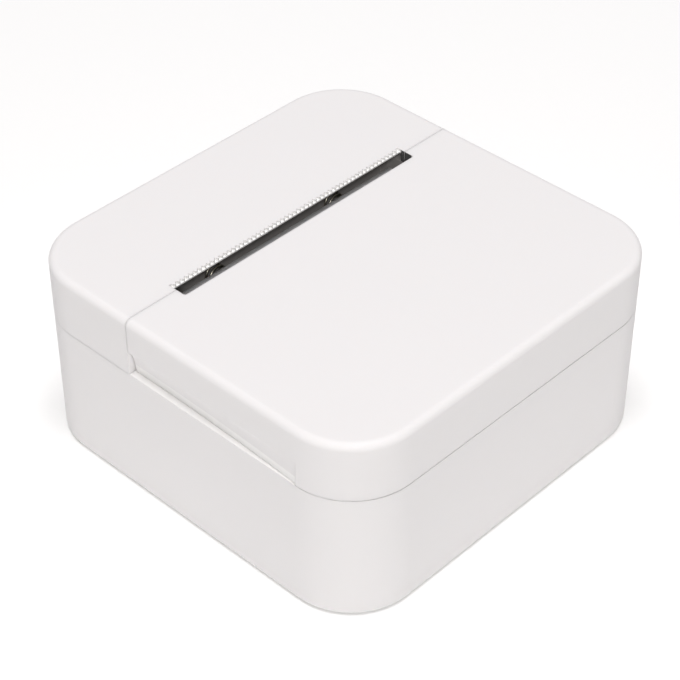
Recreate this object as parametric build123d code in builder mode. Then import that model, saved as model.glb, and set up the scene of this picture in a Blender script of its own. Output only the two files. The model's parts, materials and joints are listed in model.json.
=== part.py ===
"""Pocket thermal printer: a rounded-square case with a hinged rear cover, a fixed front
strip with moulded tear teeth, and the easy-load printing mechanism under the paper slot.

Frame: millimetres, +Z up, origin at the centre of the footprint, on the surface that the
rubber feet stand on. -Y is the front, where the tear teeth are, +Y is the hinge side, and
the paper slot runs along X.
"""

from build123d import *
import math
import os

# Case
CASE_WIDTH = 84.0
CORNER_RADIUS = 13.4
CASE_BOTTOM = 0.5
CASE_TOP = 39.5
SEAM_Z = 27.3
SEAM_GAP = 0.1
STRIP_GAP = 0.12
WALL = 2.0
TOP_EDGE_RADIUS = 1.4
BOTTOM_EDGE_RADIUS = 0.5
FLOOR_TOP = CASE_BOTTOM + WALL
CEILING_Z = CASE_TOP - WALL
HALF = CASE_WIDTH / 2

# Paper slot, tear teeth and the seam between the front strip and the cover
SLOT_HALF = 29.9
SLOT_CORNER_RADIUS = 0.5
STRIP_END_Y = -12.9
COVER_FRONT_Y = STRIP_END_Y + STRIP_GAP
COVER_FRONT_LEAN = 0.25
SLOT_COVER_Y = -10.55
TOOTH_TIP_Y = -14.05
TOOTH_DEPTH = 0.65
TOOTH_PITCH = 1.05
TOOTH_COUNT = 56
TOOTH_HEIGHT = 0.55
LIP_THICKNESS = 0.88
LIP_RELIEF_Y = -15.6
LIP_END_RELIEF = 1.5

# Tongue under the front strip that fits inside the base
TONGUE_THICKNESS = 1.3
TONGUE_DEPTH = 2.5

# Ledge inside both side walls of the base, which closes the seam behind the finger scoops
LEDGE_WIDTH = 1.4
LEDGE_HEIGHT = 1.5
LEDGE_END_Y = 27.0

# Finger scoop along the lower edge of both cover sides: depth at three stations along Y.
# It turns in quickly below its upper edge and is almost upright lower down
SCOOP_HEIGHT = 5.1
SCOOP_END_Y = 28.4
SCOOP_DEPTHS = ((COVER_FRONT_Y - 1.0, 1.5), (5.0, 1.32), (SCOOP_END_Y, 0.25))
SCOOP_FULLNESS = 0.85
SCOOP_SHOULDER = 0.5
SCOOP_OVERRUN = 0.5

# Cover hinge: the axis runs along X, inside the rear wall and above the seam. It is a little
# nearer to the wall than to the seam, so the open cover stops just above the rim at 90 degrees
HINGE_Y = HALF - 4.9
HINGE_Z = SEAM_Z + 5.0
HINGE_PIN_R = 1.0
KNUCKLE_R = 2.1
FINGER_X = (29.1, 31.3)
LUG_X = (31.6, 34.4)

# Roll bay for a 57 mm wide roll of 30 mm diameter
BAY_HALF = 29.1
BAY_RADIUS = 16.0
BAY_Y = 17.0
BAY_Z = 20.0
BAY_WALL = 1.2
BAY_SIDE = FINGER_X[1] - BAY_HALF
DECK_TOP = 24.4
DECK_THICKNESS = 1.2
DECK_FRONT_Y = -2.2

# Platen roller and thermal head
PLATEN_Y = -8.0
PLATEN_Z = 30.5
PLATEN_R = 4.5
PLATEN_HALF = 28.6
PAPER_GAP = 0.1
PLATEN_SHAFT_R = 1.5
BUSH_R = 3.0
NIP_Y = PLATEN_Y - PLATEN_R - PAPER_GAP
SUBSTRATE_THICKNESS = 0.5
PLATE_FRONT_Y = NIP_Y - SUBSTRATE_THICKNESS
PLATE_THICKNESS = 2.0
PLATE_BACK_Y = PLATE_FRONT_Y - PLATE_THICKNESS
PLATE_TOP = 35.8
HEAD_HALF = 28.0
PIVOT_Y = -15.0
PIVOT_Z = 24.6
PIVOT_R = 1.0

# Mechanism chassis
CHASSIS_IN = 30.3
CHASSIS_OUT = 31.5
CHASSIS_TOP = 36.5
SPRING_SEAT_Y = -19.4
GEAR_SHELF = ((-36.9, -31.4), (-20.8, -13.6), (35.3, CHASSIS_TOP))
SPRING_X = 15.7
SPRING_Z = 32.0
COIL_R = 2.05
WIRE_R = 0.25
COIL_TURNS = 3.5

# Gear train: platen gear and small idler in one layer, large idler and pinion outside it.
# The platen gear is small enough to swing up past the fixed strip with the cover
GEAR_MODULE = 0.5
PLATEN_TEETH = 18
IDLER_SMALL_TEETH = 12
IDLER_LARGE_TEETH = 40
PINION_TEETH = 11
BACKLASH = 0.12
CENTRE_EASE = 0.03
IDLER_LEAN = math.radians(10.0)
MOTOR_LEAN = math.radians(28.5)
IDLER_REACH = GEAR_MODULE * (PLATEN_TEETH + IDLER_SMALL_TEETH) / 2 + CENTRE_EASE
MOTOR_REACH = GEAR_MODULE * (IDLER_LARGE_TEETH + PINION_TEETH) / 2 + CENTRE_EASE
IDLER_Y = PLATEN_Y - IDLER_REACH * math.sin(IDLER_LEAN)
IDLER_Z = PLATEN_Z - IDLER_REACH * math.cos(IDLER_LEAN)
MOTOR_Y = IDLER_Y - MOTOR_REACH * math.cos(MOTOR_LEAN)
MOTOR_Z = IDLER_Z - MOTOR_REACH * math.sin(MOTOR_LEAN)
INNER_LAYER = (-34.3, -31.8)
OUTER_LAYER = (-36.8, -34.6)
AXLE_R = 1.0
RUNNING = 0.04
GEAR_COVER_X = (-38.1, -37.3)
MOTOR_R = 7.2
MOTOR_X = (-30.1, -19.6)
MOTOR_SHAFT_R = 0.75

# Circuit board, battery and front controls
BOARD_TOP = 5.0
BOARD_THICKNESS = 1.0
CONTROL_Z = 8.0
BUTTON_R = 3.2
LIGHT_X = 9.0
USB_Y = -23.5
USB_Z = BOARD_TOP + 1.6
BATTERY = (48.0, 30.0, 8.0)
BATTERY_CENTRE = (6.8, -18.5)
BATTERY_SOCKET = (-22.0, -27.0)
BATTERY_SOCKET_LENGTH = 3.4
LEAD_R = 0.45
LEAD_PITCH = 1.6
LEAD_Z = BOARD_TOP + 1.5
MOTOR_SOCKET_X = -21.9
MOTOR_SOCKET_HEIGHT = 2.2
MOTOR_FLEX_WIDTH = 3.0
MOTOR_FLEX_THICKNESS = 0.2
FLEX_Y = -12.825
FLEX_TOP = 26.4
FLEX_WIDTH = 10.0
FLEX_THICKNESS = 0.25
FLEX_INSERT = 1.4

# Fasteners, as (X, Y)
CASE_SCREWS = ((-34.8, -31.5), (34.8, -31.5))
BAY_SCREWS = ((-35.2, 6.0), (35.2, 6.0), (-35.2, 27.0), (35.2, 27.0))
CHASSIS_SCREWS = ((-27.0, -32.0), (34.5, -24.0), (34.5, -5.0))
BOARD_SCREWS = ((-36.0, -5.0), (-22.5, -5.0))
HOLDER_SCREWS = ((-20.0, 3.5), (-10.0, 3.5), (10.0, 3.5), (20.0, 3.5))
GEAR_COVER_SCREWS = ((-21.8, 26.0), (-15.0, 10.2))
EAR_Z = 17.0
EAR_THICKNESS = 1.4
FEET = ((-22.0, -33.0), (22.0, -33.0), (-22.0, 33.0), (22.0, 33.0))
FOOT_R = 4.5

HINGE_AXIS = Axis((0, HINGE_Y, HINGE_Z), (1, 0, 0))


def across(x):
    """The YZ plane at the given X; its sketch coordinates are (Y, Z)."""
    return Plane.YZ.offset(x)


def level(z):
    """The horizontal plane at the given height."""
    return Plane.XY.offset(z)


def facing_front(y):
    """The plane at the given Y that looks along +Y; its coordinates are (X, Z)."""
    return Plane((0, y, 0), x_dir=(1, 0, 0), z_dir=(0, -1, 0))


def gear_points(teeth, turn, centre):
    """Closed outline of a spur gear with involute flanks; turn is where a tooth points."""
    pitch_r = GEAR_MODULE * teeth / 2
    base_r = pitch_r * math.cos(math.radians(20))
    root_r = pitch_r - 1.1 * GEAR_MODULE
    tip_r = pitch_r + 0.8 * GEAR_MODULE
    involute = lambda angle: math.tan(angle) - angle
    at_pitch = math.pi / (2 * teeth) - BACKLASH / (4 * pitch_r) + involute(math.radians(20))

    def half_width(radius):
        return at_pitch - involute(math.acos(min(1.0, base_r / max(radius, base_r))))

    flank = (root_r, max(base_r, root_r + 0.1 * GEAR_MODULE), pitch_r, tip_r)
    points = []
    for tooth in range(teeth):
        middle = turn + 2 * math.pi * tooth / teeth
        for side, radii in ((-1, flank), (1, flank[::-1])):
            for radius in radii:
                angle = middle + side * half_width(radius)
                points.append((centre[0] + radius * math.cos(angle),
                               centre[1] + radius * math.sin(angle)))
    return points


def sweep_profile_points():
    """Half profile, about the hinge axis, of the space that the cover's rear edge needs.

    At each X the radius stays just inside the rim's own outer edge, so that edge is kept.
    """
    corner = HALF - CORNER_RADIUS
    start = math.asin((HINGE_Y - corner) / CORNER_RADIUS)
    steps = 8
    side = []
    for step in range(steps + 1):
        angle = start + (math.pi / 2 - start) * step / steps
        out = corner + CORNER_RADIUS * math.sin(angle) - HINGE_Y
        side.append((corner + CORNER_RADIUS * math.cos(angle),
                     math.hypot(out, HINGE_Z - SEAM_Z) - 0.03))
    return [(-side[0][0], 0), (side[0][0], 0)] + side + [(-x, r) for x, r in side[::-1]]


def screw(locations, head_r, head_height, shank_r, shank_length, up=True):
    """Adds pan-head screws whose shanks start at the given places and point up or down."""
    way = 1 if up else -1
    for place in locations:
        with Locations(place):
            Cylinder(shank_r, shank_length, align=(Align.CENTER, Align.CENTER, Align.MIN),
                     rotation=(0, 0, 0) if up else (180, 0, 0))
            Cylinder(head_r, head_height, align=(Align.CENTER, Align.CENTER, Align.MIN),
                     rotation=(180, 0, 0) if up else (0, 0, 0))
            with Locations((0, 0, -way * head_height)):
                Box(head_r, 0.35, 0.7, mode=Mode.SUBTRACT)
                Box(0.35, head_r, 0.7, mode=Mode.SUBTRACT)


os.makedirs("parts", exist_ok=True)


# Lower half of the case
with BuildPart() as base_case:
    with BuildSketch(level(CASE_BOTTOM)):
        RectangleRounded(CASE_WIDTH, CASE_WIDTH, CORNER_RADIUS)
    extrude(amount=SEAM_Z - CASE_BOTTOM)
    fillet(base_case.faces().sort_by(Axis.Z)[0].edges(), BOTTOM_EDGE_RADIUS)
    with BuildSketch(level(FLOOR_TOP)):
        RectangleRounded(CASE_WIDTH - 2 * WALL, CASE_WIDTH - 2 * WALL, CORNER_RADIUS - WALL)
    extrude(amount=SEAM_Z - FLOOR_TOP, mode=Mode.SUBTRACT)
    # Bosses: case screws, chassis ears, roll bay, circuit board
    for places, boss_r, boss_top in (
        (CASE_SCREWS, 3.2, 12.0),
        (CHASSIS_SCREWS, 2.5, EAR_Z),
        (BAY_SCREWS, 2.5, DECK_TOP - DECK_THICKNESS),
        (BOARD_SCREWS, 2.0, BOARD_TOP - BOARD_THICKNESS),
    ):
        with BuildSketch(level(FLOOR_TOP)):
            with Locations(*places):
                Circle(boss_r)
        extrude(amount=boss_top - FLOOR_TOP)
    for places, boss_top, depth in (
        (CHASSIS_SCREWS, EAR_Z, 7.0),
        (BAY_SCREWS, DECK_TOP - DECK_THICKNESS, 7.0),
        (BOARD_SCREWS, BOARD_TOP - BOARD_THICKNESS, 2.6),
    ):
        with BuildSketch(level(boss_top - depth)):
            with Locations(*places):
                Circle(0.9)
        extrude(amount=depth, mode=Mode.SUBTRACT)
    # Case screws go up from below, in counterbores; the feet sit in shallow pockets
    with BuildSketch(level(CASE_BOTTOM)):
        with Locations(*CASE_SCREWS):
            Circle(1.15)
    extrude(amount=12.0, mode=Mode.SUBTRACT)
    with BuildSketch(level(CASE_BOTTOM)):
        with Locations(*CASE_SCREWS):
            Circle(2.3)
    extrude(amount=5.5, mode=Mode.SUBTRACT)
    with BuildSketch(level(CASE_BOTTOM)):
        with Locations(*FEET):
            Circle(FOOT_R + 0.1)
    extrude(amount=0.6, mode=Mode.SUBTRACT)
    # Front wall: power button and status light; side wall: charging socket
    with BuildSketch(facing_front(-HALF - 1)):
        with Locations((0, CONTROL_Z)):
            Circle(BUTTON_R + 0.15)
        with Locations((LIGHT_X, CONTROL_Z)):
            Circle(1.0)
    extrude(amount=-WALL - 1.5, mode=Mode.SUBTRACT)
    with BuildSketch(across(-HALF - 1)):
        with Locations((USB_Y, USB_Z)):
            SlotOverall(9.6, 3.9)
    extrude(amount=WALL + 1.5, mode=Mode.SUBTRACT)
    # Ledge that shows through the seam under the finger scoops
    ledge_start = STRIP_END_Y + 0.1
    with BuildSketch(level(SEAM_Z - LEDGE_HEIGHT)):
        for side in (-1, 1):
            with Locations((side * (HALF - WALL - LEDGE_WIDTH / 2 + 0.25),
                            (ledge_start + LEDGE_END_Y) / 2)):
                Rectangle(LEDGE_WIDTH + 0.5, LEDGE_END_Y - ledge_start)
    extrude(amount=LEDGE_HEIGHT)
    # The rear rim is hollowed where the cover's lower edge swings past it
    hinge_plane = Plane((0, HINGE_Y, HINGE_Z), x_dir=(1, 0, 0), z_dir=(0, -1, 0))
    with BuildSketch(hinge_plane):
        with BuildLine():
            Polyline(sweep_profile_points(), close=True)
        make_face()
    revolve(axis=HINGE_AXIS, mode=Mode.SUBTRACT)
base_case.part.label = "base_case"
export_step(base_case.part, "parts/base_case.step")


# Fixed front strip of the top, with the tear teeth
with BuildPart() as front_top_case:
    with BuildSketch(level(SEAM_Z)):
        RectangleRounded(CASE_WIDTH, CASE_WIDTH, CORNER_RADIUS)
    extrude(amount=CASE_TOP - SEAM_Z)
    fillet(front_top_case.faces().sort_by(Axis.Z)[-1].edges(), TOP_EDGE_RADIUS)
    with BuildSketch(level(SEAM_Z)):
        RectangleRounded(CASE_WIDTH - 2 * WALL, CASE_WIDTH - 2 * WALL, CORNER_RADIUS - WALL)
    extrude(amount=CEILING_Z - SEAM_Z, mode=Mode.SUBTRACT)
    # Tongue that registers the strip inside the base
    tongue_in = WALL + TONGUE_THICKNESS
    for low, height, outer in ((SEAM_Z - TONGUE_DEPTH, TONGUE_DEPTH, WALL + 0.1),
                               (SEAM_Z, 1.0, WALL)):
        with BuildSketch(level(low)):
            RectangleRounded(CASE_WIDTH - 2 * outer, CASE_WIDTH - 2 * outer,
                             CORNER_RADIUS - outer)
            RectangleRounded(CASE_WIDTH - 2 * tongue_in, CASE_WIDTH - 2 * tongue_in,
                             CORNER_RADIUS - tongue_in, mode=Mode.SUBTRACT)
        extrude(amount=height)
    split(bisect_by=Plane.XZ.offset(-STRIP_END_Y), keep=Keep.TOP)
    # Screw posts
    with BuildSketch(level(12.05)):
        with Locations(*CASE_SCREWS):
            Circle(3.0)
    extrude(amount=CEILING_Z - 12.05)
    with BuildSketch(level(12.05)):
        with Locations(*CASE_SCREWS):
            Circle(0.9)
    extrude(amount=9.0, mode=Mode.SUBTRACT)
    # Slot side: the plate is cut back and thinned, then closed by the lip and the teeth
    slot_back = TOOTH_TIP_Y - TOOTH_DEPTH
    with BuildSketch(level(CEILING_Z)):
        with Locations((0, (slot_back + STRIP_END_Y) / 2)):
            Rectangle(2 * SLOT_HALF, STRIP_END_Y - slot_back)
    extrude(amount=WALL, mode=Mode.SUBTRACT)
    with BuildSketch(level(CEILING_Z)):
        with Locations((0, (LIP_RELIEF_Y + STRIP_END_Y) / 2)):
            Rectangle(2 * (SLOT_HALF + LIP_END_RELIEF), STRIP_END_Y - LIP_RELIEF_Y)
    extrude(amount=WALL - LIP_THICKNESS, mode=Mode.SUBTRACT)
    with BuildSketch(level(CASE_TOP - LIP_THICKNESS)):
        with Locations((0, (slot_back + TOOTH_TIP_Y) / 2)):
            Rectangle(2 * SLOT_HALF, TOOTH_DEPTH)
    extrude(amount=LIP_THICKNESS - TOOTH_HEIGHT)
    with BuildSketch(level(CASE_TOP - TOOTH_HEIGHT)):
        with BuildLine():
            row_start = -TOOTH_PITCH * TOOTH_COUNT / 2
            row = [(row_start, slot_back)]
            for tooth in range(TOOTH_COUNT):
                row.append((row_start + (tooth + 0.5) * TOOTH_PITCH, TOOTH_TIP_Y))
                row.append((row_start + (tooth + 1) * TOOTH_PITCH, slot_back))
            Polyline(row + [(-row_start, slot_back - 0.2), (row_start, slot_back - 0.2)],
                     close=True)
        make_face()
    extrude(amount=TOOTH_HEIGHT)
front_top_case.part.label = "front_top_case"
export_step(front_top_case.part, "parts/front_top_case.step")


# Hinged rear cover
with BuildPart() as cover_shell:
    with BuildSketch(level(SEAM_Z + SEAM_GAP)):
        RectangleRounded(CASE_WIDTH, CASE_WIDTH, CORNER_RADIUS)
    extrude(amount=CASE_TOP - SEAM_Z - SEAM_GAP)
    fillet(cover_shell.faces().sort_by(Axis.Z)[-1].edges(), TOP_EDGE_RADIUS)
    with BuildSketch(level(SEAM_Z + SEAM_GAP)):
        RectangleRounded(CASE_WIDTH - 2 * WALL, CASE_WIDTH - 2 * WALL, CORNER_RADIUS - WALL)
    extrude(amount=CEILING_Z - SEAM_Z - SEAM_GAP, mode=Mode.SUBTRACT)
    # The side walls are thicker behind the finger scoops
    with BuildSketch(level(SEAM_Z + SEAM_GAP)):
        for side in (-1, 1):
            with Locations((side * (HALF - 2.7), (COVER_FRONT_Y + SCOOP_END_Y) / 2)):
                Rectangle(1.8, SCOOP_END_Y - COVER_FRONT_Y)
    extrude(amount=SCOOP_HEIGHT + 1.5)
    split(bisect_by=Plane.XZ.offset(-COVER_FRONT_Y), keep=Keep.BOTTOM)
    # Below the hinge's height the front ends lean back, to swing up past the fixed strip
    with BuildSketch(across(-HALF)):
        Polygon((COVER_FRONT_Y - 1, SEAM_Z), (COVER_FRONT_Y + COVER_FRONT_LEAN, SEAM_Z),
                (COVER_FRONT_Y, HINGE_Z), (COVER_FRONT_Y - 1, HINGE_Z), align=None)
    extrude(amount=CASE_WIDTH, mode=Mode.SUBTRACT)
    # Paper slot, rounded at its corners on this side
    with BuildSketch(level(CEILING_Z)) as cover_slot:
        with Locations((0, SLOT_COVER_Y - 2)):
            Rectangle(2 * SLOT_HALF, 4)
        fillet(cover_slot.vertices().group_by(Axis.Y)[-1], SLOT_CORNER_RADIUS)
    extrude(amount=WALL, mode=Mode.SUBTRACT)
    # Hinge lugs hang from the ceiling
    for near, far in (LUG_X, (-LUG_X[1], -LUG_X[0])):
        with BuildSketch(across(near)):
            with Locations((HINGE_Y, HINGE_Z)):
                Circle(KNUCKLE_R)
            with Locations((HINGE_Y, (HINGE_Z + CEILING_Z) / 2)):
                Rectangle(2 * KNUCKLE_R, CEILING_Z - HINGE_Z)
        extrude(amount=far - near)
        with BuildSketch(across(near)):
            with Locations((HINGE_Y, HINGE_Z)):
                Circle(HINGE_PIN_R + RUNNING)
        extrude(amount=far - near, mode=Mode.SUBTRACT)
    # Bosses for the platen holder's screws
    with BuildSketch(level(35.6)):
        with Locations(*HOLDER_SCREWS):
            Circle(1.8)
    extrude(amount=CEILING_Z - 35.6)
    with BuildSketch(level(35.6)):
        with Locations(*HOLDER_SCREWS):
            Circle(0.75)
    extrude(amount=3.0, mode=Mode.SUBTRACT)
    # Finger scoops
    for side in (-1, 1):
        stations = []
        for y, depth in SCOOP_DEPTHS:
            with BuildSketch(facing_front(y), mode=Mode.PRIVATE) as station:
                with BuildLine():
                    low = SEAM_Z + SEAM_GAP - SCOOP_OVERRUN
                    top = SEAM_Z + SEAM_GAP + SCOOP_HEIGHT
                    deepest = side * (HALF - depth)
                    outside = side * (HALF + 1.0)
                    Bezier((deepest, low),
                           (side * (HALF - SCOOP_FULLNESS * depth), top - SCOOP_SHOULDER),
                           (side * HALF, top))
                    Polyline((side * HALF, top), (outside, top), (outside, low),
                             (deepest, low))
                make_face()
            stations.append(station.sketch.faces()[0])
        loft(stations, mode=Mode.SUBTRACT)
cover_shell.part.label = "cover_shell"
export_step(cover_shell.part, "parts/cover_shell.step")


# Platen holder, screwed under the cover
with BuildPart() as platen_holder:
    with BuildSketch(across(-CHASSIS_IN + 0.4)):
        Polygon((-10.4, 35.6), (-0.6, 35.6), (-0.6, 34.2), (6.5, 34.2), (6.5, 35.6),
                (1.2, 35.6), (1.2, 37.3), (-10.4, 37.3), align=None)
    extrude(amount=2 * (CHASSIS_IN - 0.4))
    # Arms that carry the bushes
    for near in (PLATEN_HALF + 0.3, -CHASSIS_IN + 0.4):
        with BuildSketch(across(near)):
            with Locations((PLATEN_Y, PLATEN_Z)):
                Circle(4.2)
            Polygon((PLATEN_Y - 2.4, PLATEN_Z), (PLATEN_Y + 4.2, PLATEN_Z),
                    (PLATEN_Y + 5.5, 36.0), (PLATEN_Y - 2.4, 36.0), align=None)
            with Locations((PLATEN_Y, PLATEN_Z)):
                Circle(BUSH_R + 0.02, mode=Mode.SUBTRACT)
        extrude(amount=CHASSIS_IN - 0.4 - PLATEN_HALF - 0.3)
    # Ribs that guide the paper behind the roller
    for rib in range(6):
        with BuildSketch(across(-25.6 + rib * 10.0)):
            Polygon((6.0, 34.4), (-1.5, 34.4), (-3.0, 32.0), (-2.4, 29.4), (0.5, 29.6),
                    (4.2, 32.0), align=None)
        extrude(amount=1.2)
    with BuildSketch(level(34.2)):
        with Locations(*HOLDER_SCREWS):
            Circle(0.95)
    extrude(amount=1.4, mode=Mode.SUBTRACT)
platen_holder.part.label = "platen_holder"
export_step(platen_holder.part, "parts/platen_holder.step")


# Roll bay: inner deck, half-round tub, side walls and the hinge fingers
with BuildPart() as paper_bay:
    with BuildSketch(level(DECK_TOP - DECK_THICKNESS)):
        RectangleRounded(CASE_WIDTH - 2 * WALL - 0.4, CASE_WIDTH - 2 * WALL - 0.4,
                         CORNER_RADIUS - WALL - 0.2)
        with Locations((0, DECK_FRONT_Y - 50)):
            Rectangle(CASE_WIDTH, 100, mode=Mode.SUBTRACT)
        # Clear of the gear train, and of the base's ledges as the bay is lowered in
        with Locations((-CHASSIS_OUT - 5, DECK_FRONT_Y)):
            Rectangle(10, 8.0, mode=Mode.SUBTRACT)
        deck_side = HALF - WALL - LEDGE_WIDTH - 0.3
        for side in (-1, 1):
            with Locations((side * (deck_side + 5), LEDGE_END_Y + 0.3 - 25)):
                Rectangle(10, 50, mode=Mode.SUBTRACT)
    extrude(amount=DECK_THICKNESS)
    with BuildSketch(across(-BAY_HALF - BAY_SIDE)):
        with Locations((BAY_Y, BAY_Z)):
            Circle(BAY_RADIUS + BAY_WALL)
        with Locations((BAY_Y, DECK_TOP + 50)):
            Rectangle(100, 100, mode=Mode.SUBTRACT)
    extrude(amount=2 * (BAY_HALF + BAY_SIDE))
    # Side walls rise behind the roll and reach back to the hinge axis
    finger_root_y = HINGE_Y - 5.5
    for near in (-FINGER_X[1], FINGER_X[0]):
        with BuildSketch(across(near)):
            with BuildLine():
                Polyline((6.0, DECK_TOP - 1.0), (6.0, 27.0), (12.0, HINGE_Z + KNUCKLE_R),
                         (HINGE_Y, HINGE_Z + KNUCKLE_R))
                ThreePointArc((HINGE_Y, HINGE_Z + KNUCKLE_R), (HINGE_Y + KNUCKLE_R, HINGE_Z),
                              (HINGE_Y, HINGE_Z - KNUCKLE_R))
                Polyline((HINGE_Y, HINGE_Z - KNUCKLE_R), (finger_root_y, HINGE_Z - KNUCKLE_R),
                         (finger_root_y, DECK_TOP - 1.0), (6.0, DECK_TOP - 1.0))
            make_face()
            with Locations((HINGE_Y, HINGE_Z)):
                Circle(HINGE_PIN_R + 0.01, mode=Mode.SUBTRACT)
        extrude(amount=BAY_SIDE)
    with BuildSketch(across(-BAY_HALF)):
        with Locations((BAY_Y, BAY_Z)):
            Circle(BAY_RADIUS)
        with Locations((BAY_Y, BAY_Z + 10)):
            Rectangle(2 * BAY_RADIUS, 20)
    extrude(amount=2 * BAY_HALF, mode=Mode.SUBTRACT)
    with BuildSketch(level(DECK_TOP - DECK_THICKNESS)):
        with Locations(*BAY_SCREWS):
            Circle(1.15)
    extrude(amount=DECK_THICKNESS, mode=Mode.SUBTRACT)
paper_bay.part.label = "paper_bay"
export_step(paper_bay.part, "parts/paper_bay.step")


# Hinge pins, pressed into the bay's fingers and running in the cover's lugs
for name, start in (("hinge_pin_left", -LUG_X[1]), ("hinge_pin_right", FINGER_X[0])):
    with BuildPart() as hinge_pin:
        with BuildSketch(across(start)):
            with Locations((HINGE_Y, HINGE_Z)):
                Circle(HINGE_PIN_R)
        extrude(amount=LUG_X[1] - FINGER_X[0])
        chamfer(hinge_pin.edges().filter_by(GeomType.CIRCLE), 0.2)
    hinge_pin.part.label = name
    export_step(hinge_pin.part, "parts/" + name + ".step")


# Mechanism chassis: two side walls, the paper guide under the roller, the spring seat
with BuildPart() as mechanism_chassis:
    for near, motor_side in ((-CHASSIS_OUT, True), (CHASSIS_IN, False)):
        with BuildSketch(across(near)):
            Polygon((-20.8, 17.0), (-2.4, 17.0), (-2.4, 34.0), (-3.6, CHASSIS_TOP),
                    (-20.8, CHASSIS_TOP), align=None)
            if motor_side:
                with Locations((MOTOR_Y, MOTOR_Z)):
                    Circle(MOTOR_R + 1.0)
                Polygon((MOTOR_Y, MOTOR_Z - MOTOR_R - 1.0), (-12.0, 8.6), (-8.0, 17.5),
                        (-20.0, 24.0), align=None)
                Polygon((-34.6, EAR_Z), (-22.0, EAR_Z), (-20.0, 30.0), (-24.6, 28.0),
                        (-34.6, EAR_Z + 2.4), align=None)
                with Locations((MOTOR_Y, MOTOR_Z)):
                    Circle(1.9, mode=Mode.SUBTRACT)
                with Locations((IDLER_Y, IDLER_Z)):
                    Circle(AXLE_R + 0.01, mode=Mode.SUBTRACT)
            else:
                Polygon((-27.2, EAR_Z), (-20.0, EAR_Z), (-20.0, 24.0), (-27.2, EAR_Z + 2.4),
                        align=None)
            # Open notch that the platen bush drops into, flared at its mouth
            with Locations((PLATEN_Y, PLATEN_Z)):
                Circle(BUSH_R + 0.15, mode=Mode.SUBTRACT)
            Polygon((PLATEN_Y - 3.15, PLATEN_Z), (PLATEN_Y + 3.15, PLATEN_Z),
                    (PLATEN_Y + 3.35, 34.8), (PLATEN_Y + 4.6, CHASSIS_TOP + 0.1),
                    (PLATEN_Y - 3.6, CHASSIS_TOP + 0.1), (PLATEN_Y - 3.15, 35.4),
                    align=None, mode=Mode.SUBTRACT)
            with Locations((PIVOT_Y, PIVOT_Z)):
                Circle(PIVOT_R + 0.01, mode=Mode.SUBTRACT)
        extrude(amount=CHASSIS_OUT - CHASSIS_IN)
    # Paper guide, hollowed to follow the roller
    with BuildSketch(across(-CHASSIS_IN)):
        Polygon((-11.7, 21.6), (-2.5, 21.6), (-2.5, 24.7), (PLATEN_Y, 25.2), (-11.7, 28.0),
                align=None)
        with Locations((PLATEN_Y, PLATEN_Z)):
            Circle(5.3, mode=Mode.SUBTRACT)
    extrude(amount=2 * CHASSIS_IN)
    # Spring seat
    with BuildSketch(across(-CHASSIS_IN)):
        Polygon((SPRING_SEAT_Y - 1.2, 28.4), (SPRING_SEAT_Y, 28.4), (SPRING_SEAT_Y, 35.8),
                (SPRING_SEAT_Y - 1.2, 35.8), align=None)
    extrude(amount=2 * CHASSIS_IN)
    # Mounting ears
    for x, y, inward in ((-27.0, -32.0, -CHASSIS_IN), (34.5, -24.0, CHASSIS_OUT),
                         (34.5, -5.0, CHASSIS_OUT)):
        with BuildSketch(level(EAR_Z)):
            with Locations((x, y)):
                Circle(2.6)
            with Locations(((x + inward) / 2, y)):
                Rectangle(abs(x - inward), 5.2)
            with Locations((x, y)):
                Circle(1.15, mode=Mode.SUBTRACT)
        extrude(amount=EAR_THICKNESS)
    # Shelf over the gears, in front of the platen gear
    shelf_x, shelf_y, shelf_z = GEAR_SHELF
    with BuildSketch(level(shelf_z[0])):
        with Locations(((shelf_x[0] + shelf_x[1]) / 2, (shelf_y[0] + shelf_y[1]) / 2)):
            Rectangle(shelf_x[1] - shelf_x[0], shelf_y[1] - shelf_y[0])
    extrude(amount=shelf_z[1] - shelf_z[0])
    # Posts for the gear cover
    with BuildSketch(across(GEAR_COVER_X[1])):
        with Locations(*GEAR_COVER_SCREWS):
            Circle(1.4)
    extrude(amount=-CHASSIS_OUT - GEAR_COVER_X[1] + 0.2)
    with BuildSketch(across(GEAR_COVER_X[1])):
        with Locations(*GEAR_COVER_SCREWS):
            Circle(0.7)
    extrude(amount=4.0, mode=Mode.SUBTRACT)
    # Pocket for the paper sensor
    with BuildSketch(level(21.0)):
        with Locations((10.0, -6.2)):
            Rectangle(4.2, 3.2)
    extrude(amount=5.0, mode=Mode.SUBTRACT)
mechanism_chassis.part.label = "mechanism_chassis"
export_step(mechanism_chassis.part, "parts/mechanism_chassis.step")


# Thermal head: aluminium heat-sink plate on a pivot, ceramic strip and driver cover
with BuildPart() as head_plate:
    with BuildSketch(across(-HEAD_HALF)):
        Polygon((PLATE_BACK_Y, PIVOT_Z), (PLATE_FRONT_Y, PIVOT_Z), (PLATE_FRONT_Y, PLATE_TOP),
                (PLATE_BACK_Y, PLATE_TOP), align=None)
        with Locations((PIVOT_Y, PIVOT_Z)):
            Circle(1.8)
            Circle(PIVOT_R + RUNNING, mode=Mode.SUBTRACT)
    extrude(amount=2 * HEAD_HALF)
head_plate.part.label = "head_plate"
export_step(head_plate.part, "parts/head_plate.step")

with BuildPart() as head_substrate:
    with BuildSketch(across(-27.6)):
        Polygon((PLATE_FRONT_Y, 26.8), (NIP_Y, 26.8), (NIP_Y, 33.6), (PLATE_FRONT_Y, 33.6),
                align=None)
    extrude(amount=55.2)
head_substrate.part.label = "head_substrate"
export_step(head_substrate.part, "parts/head_substrate.step")

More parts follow.
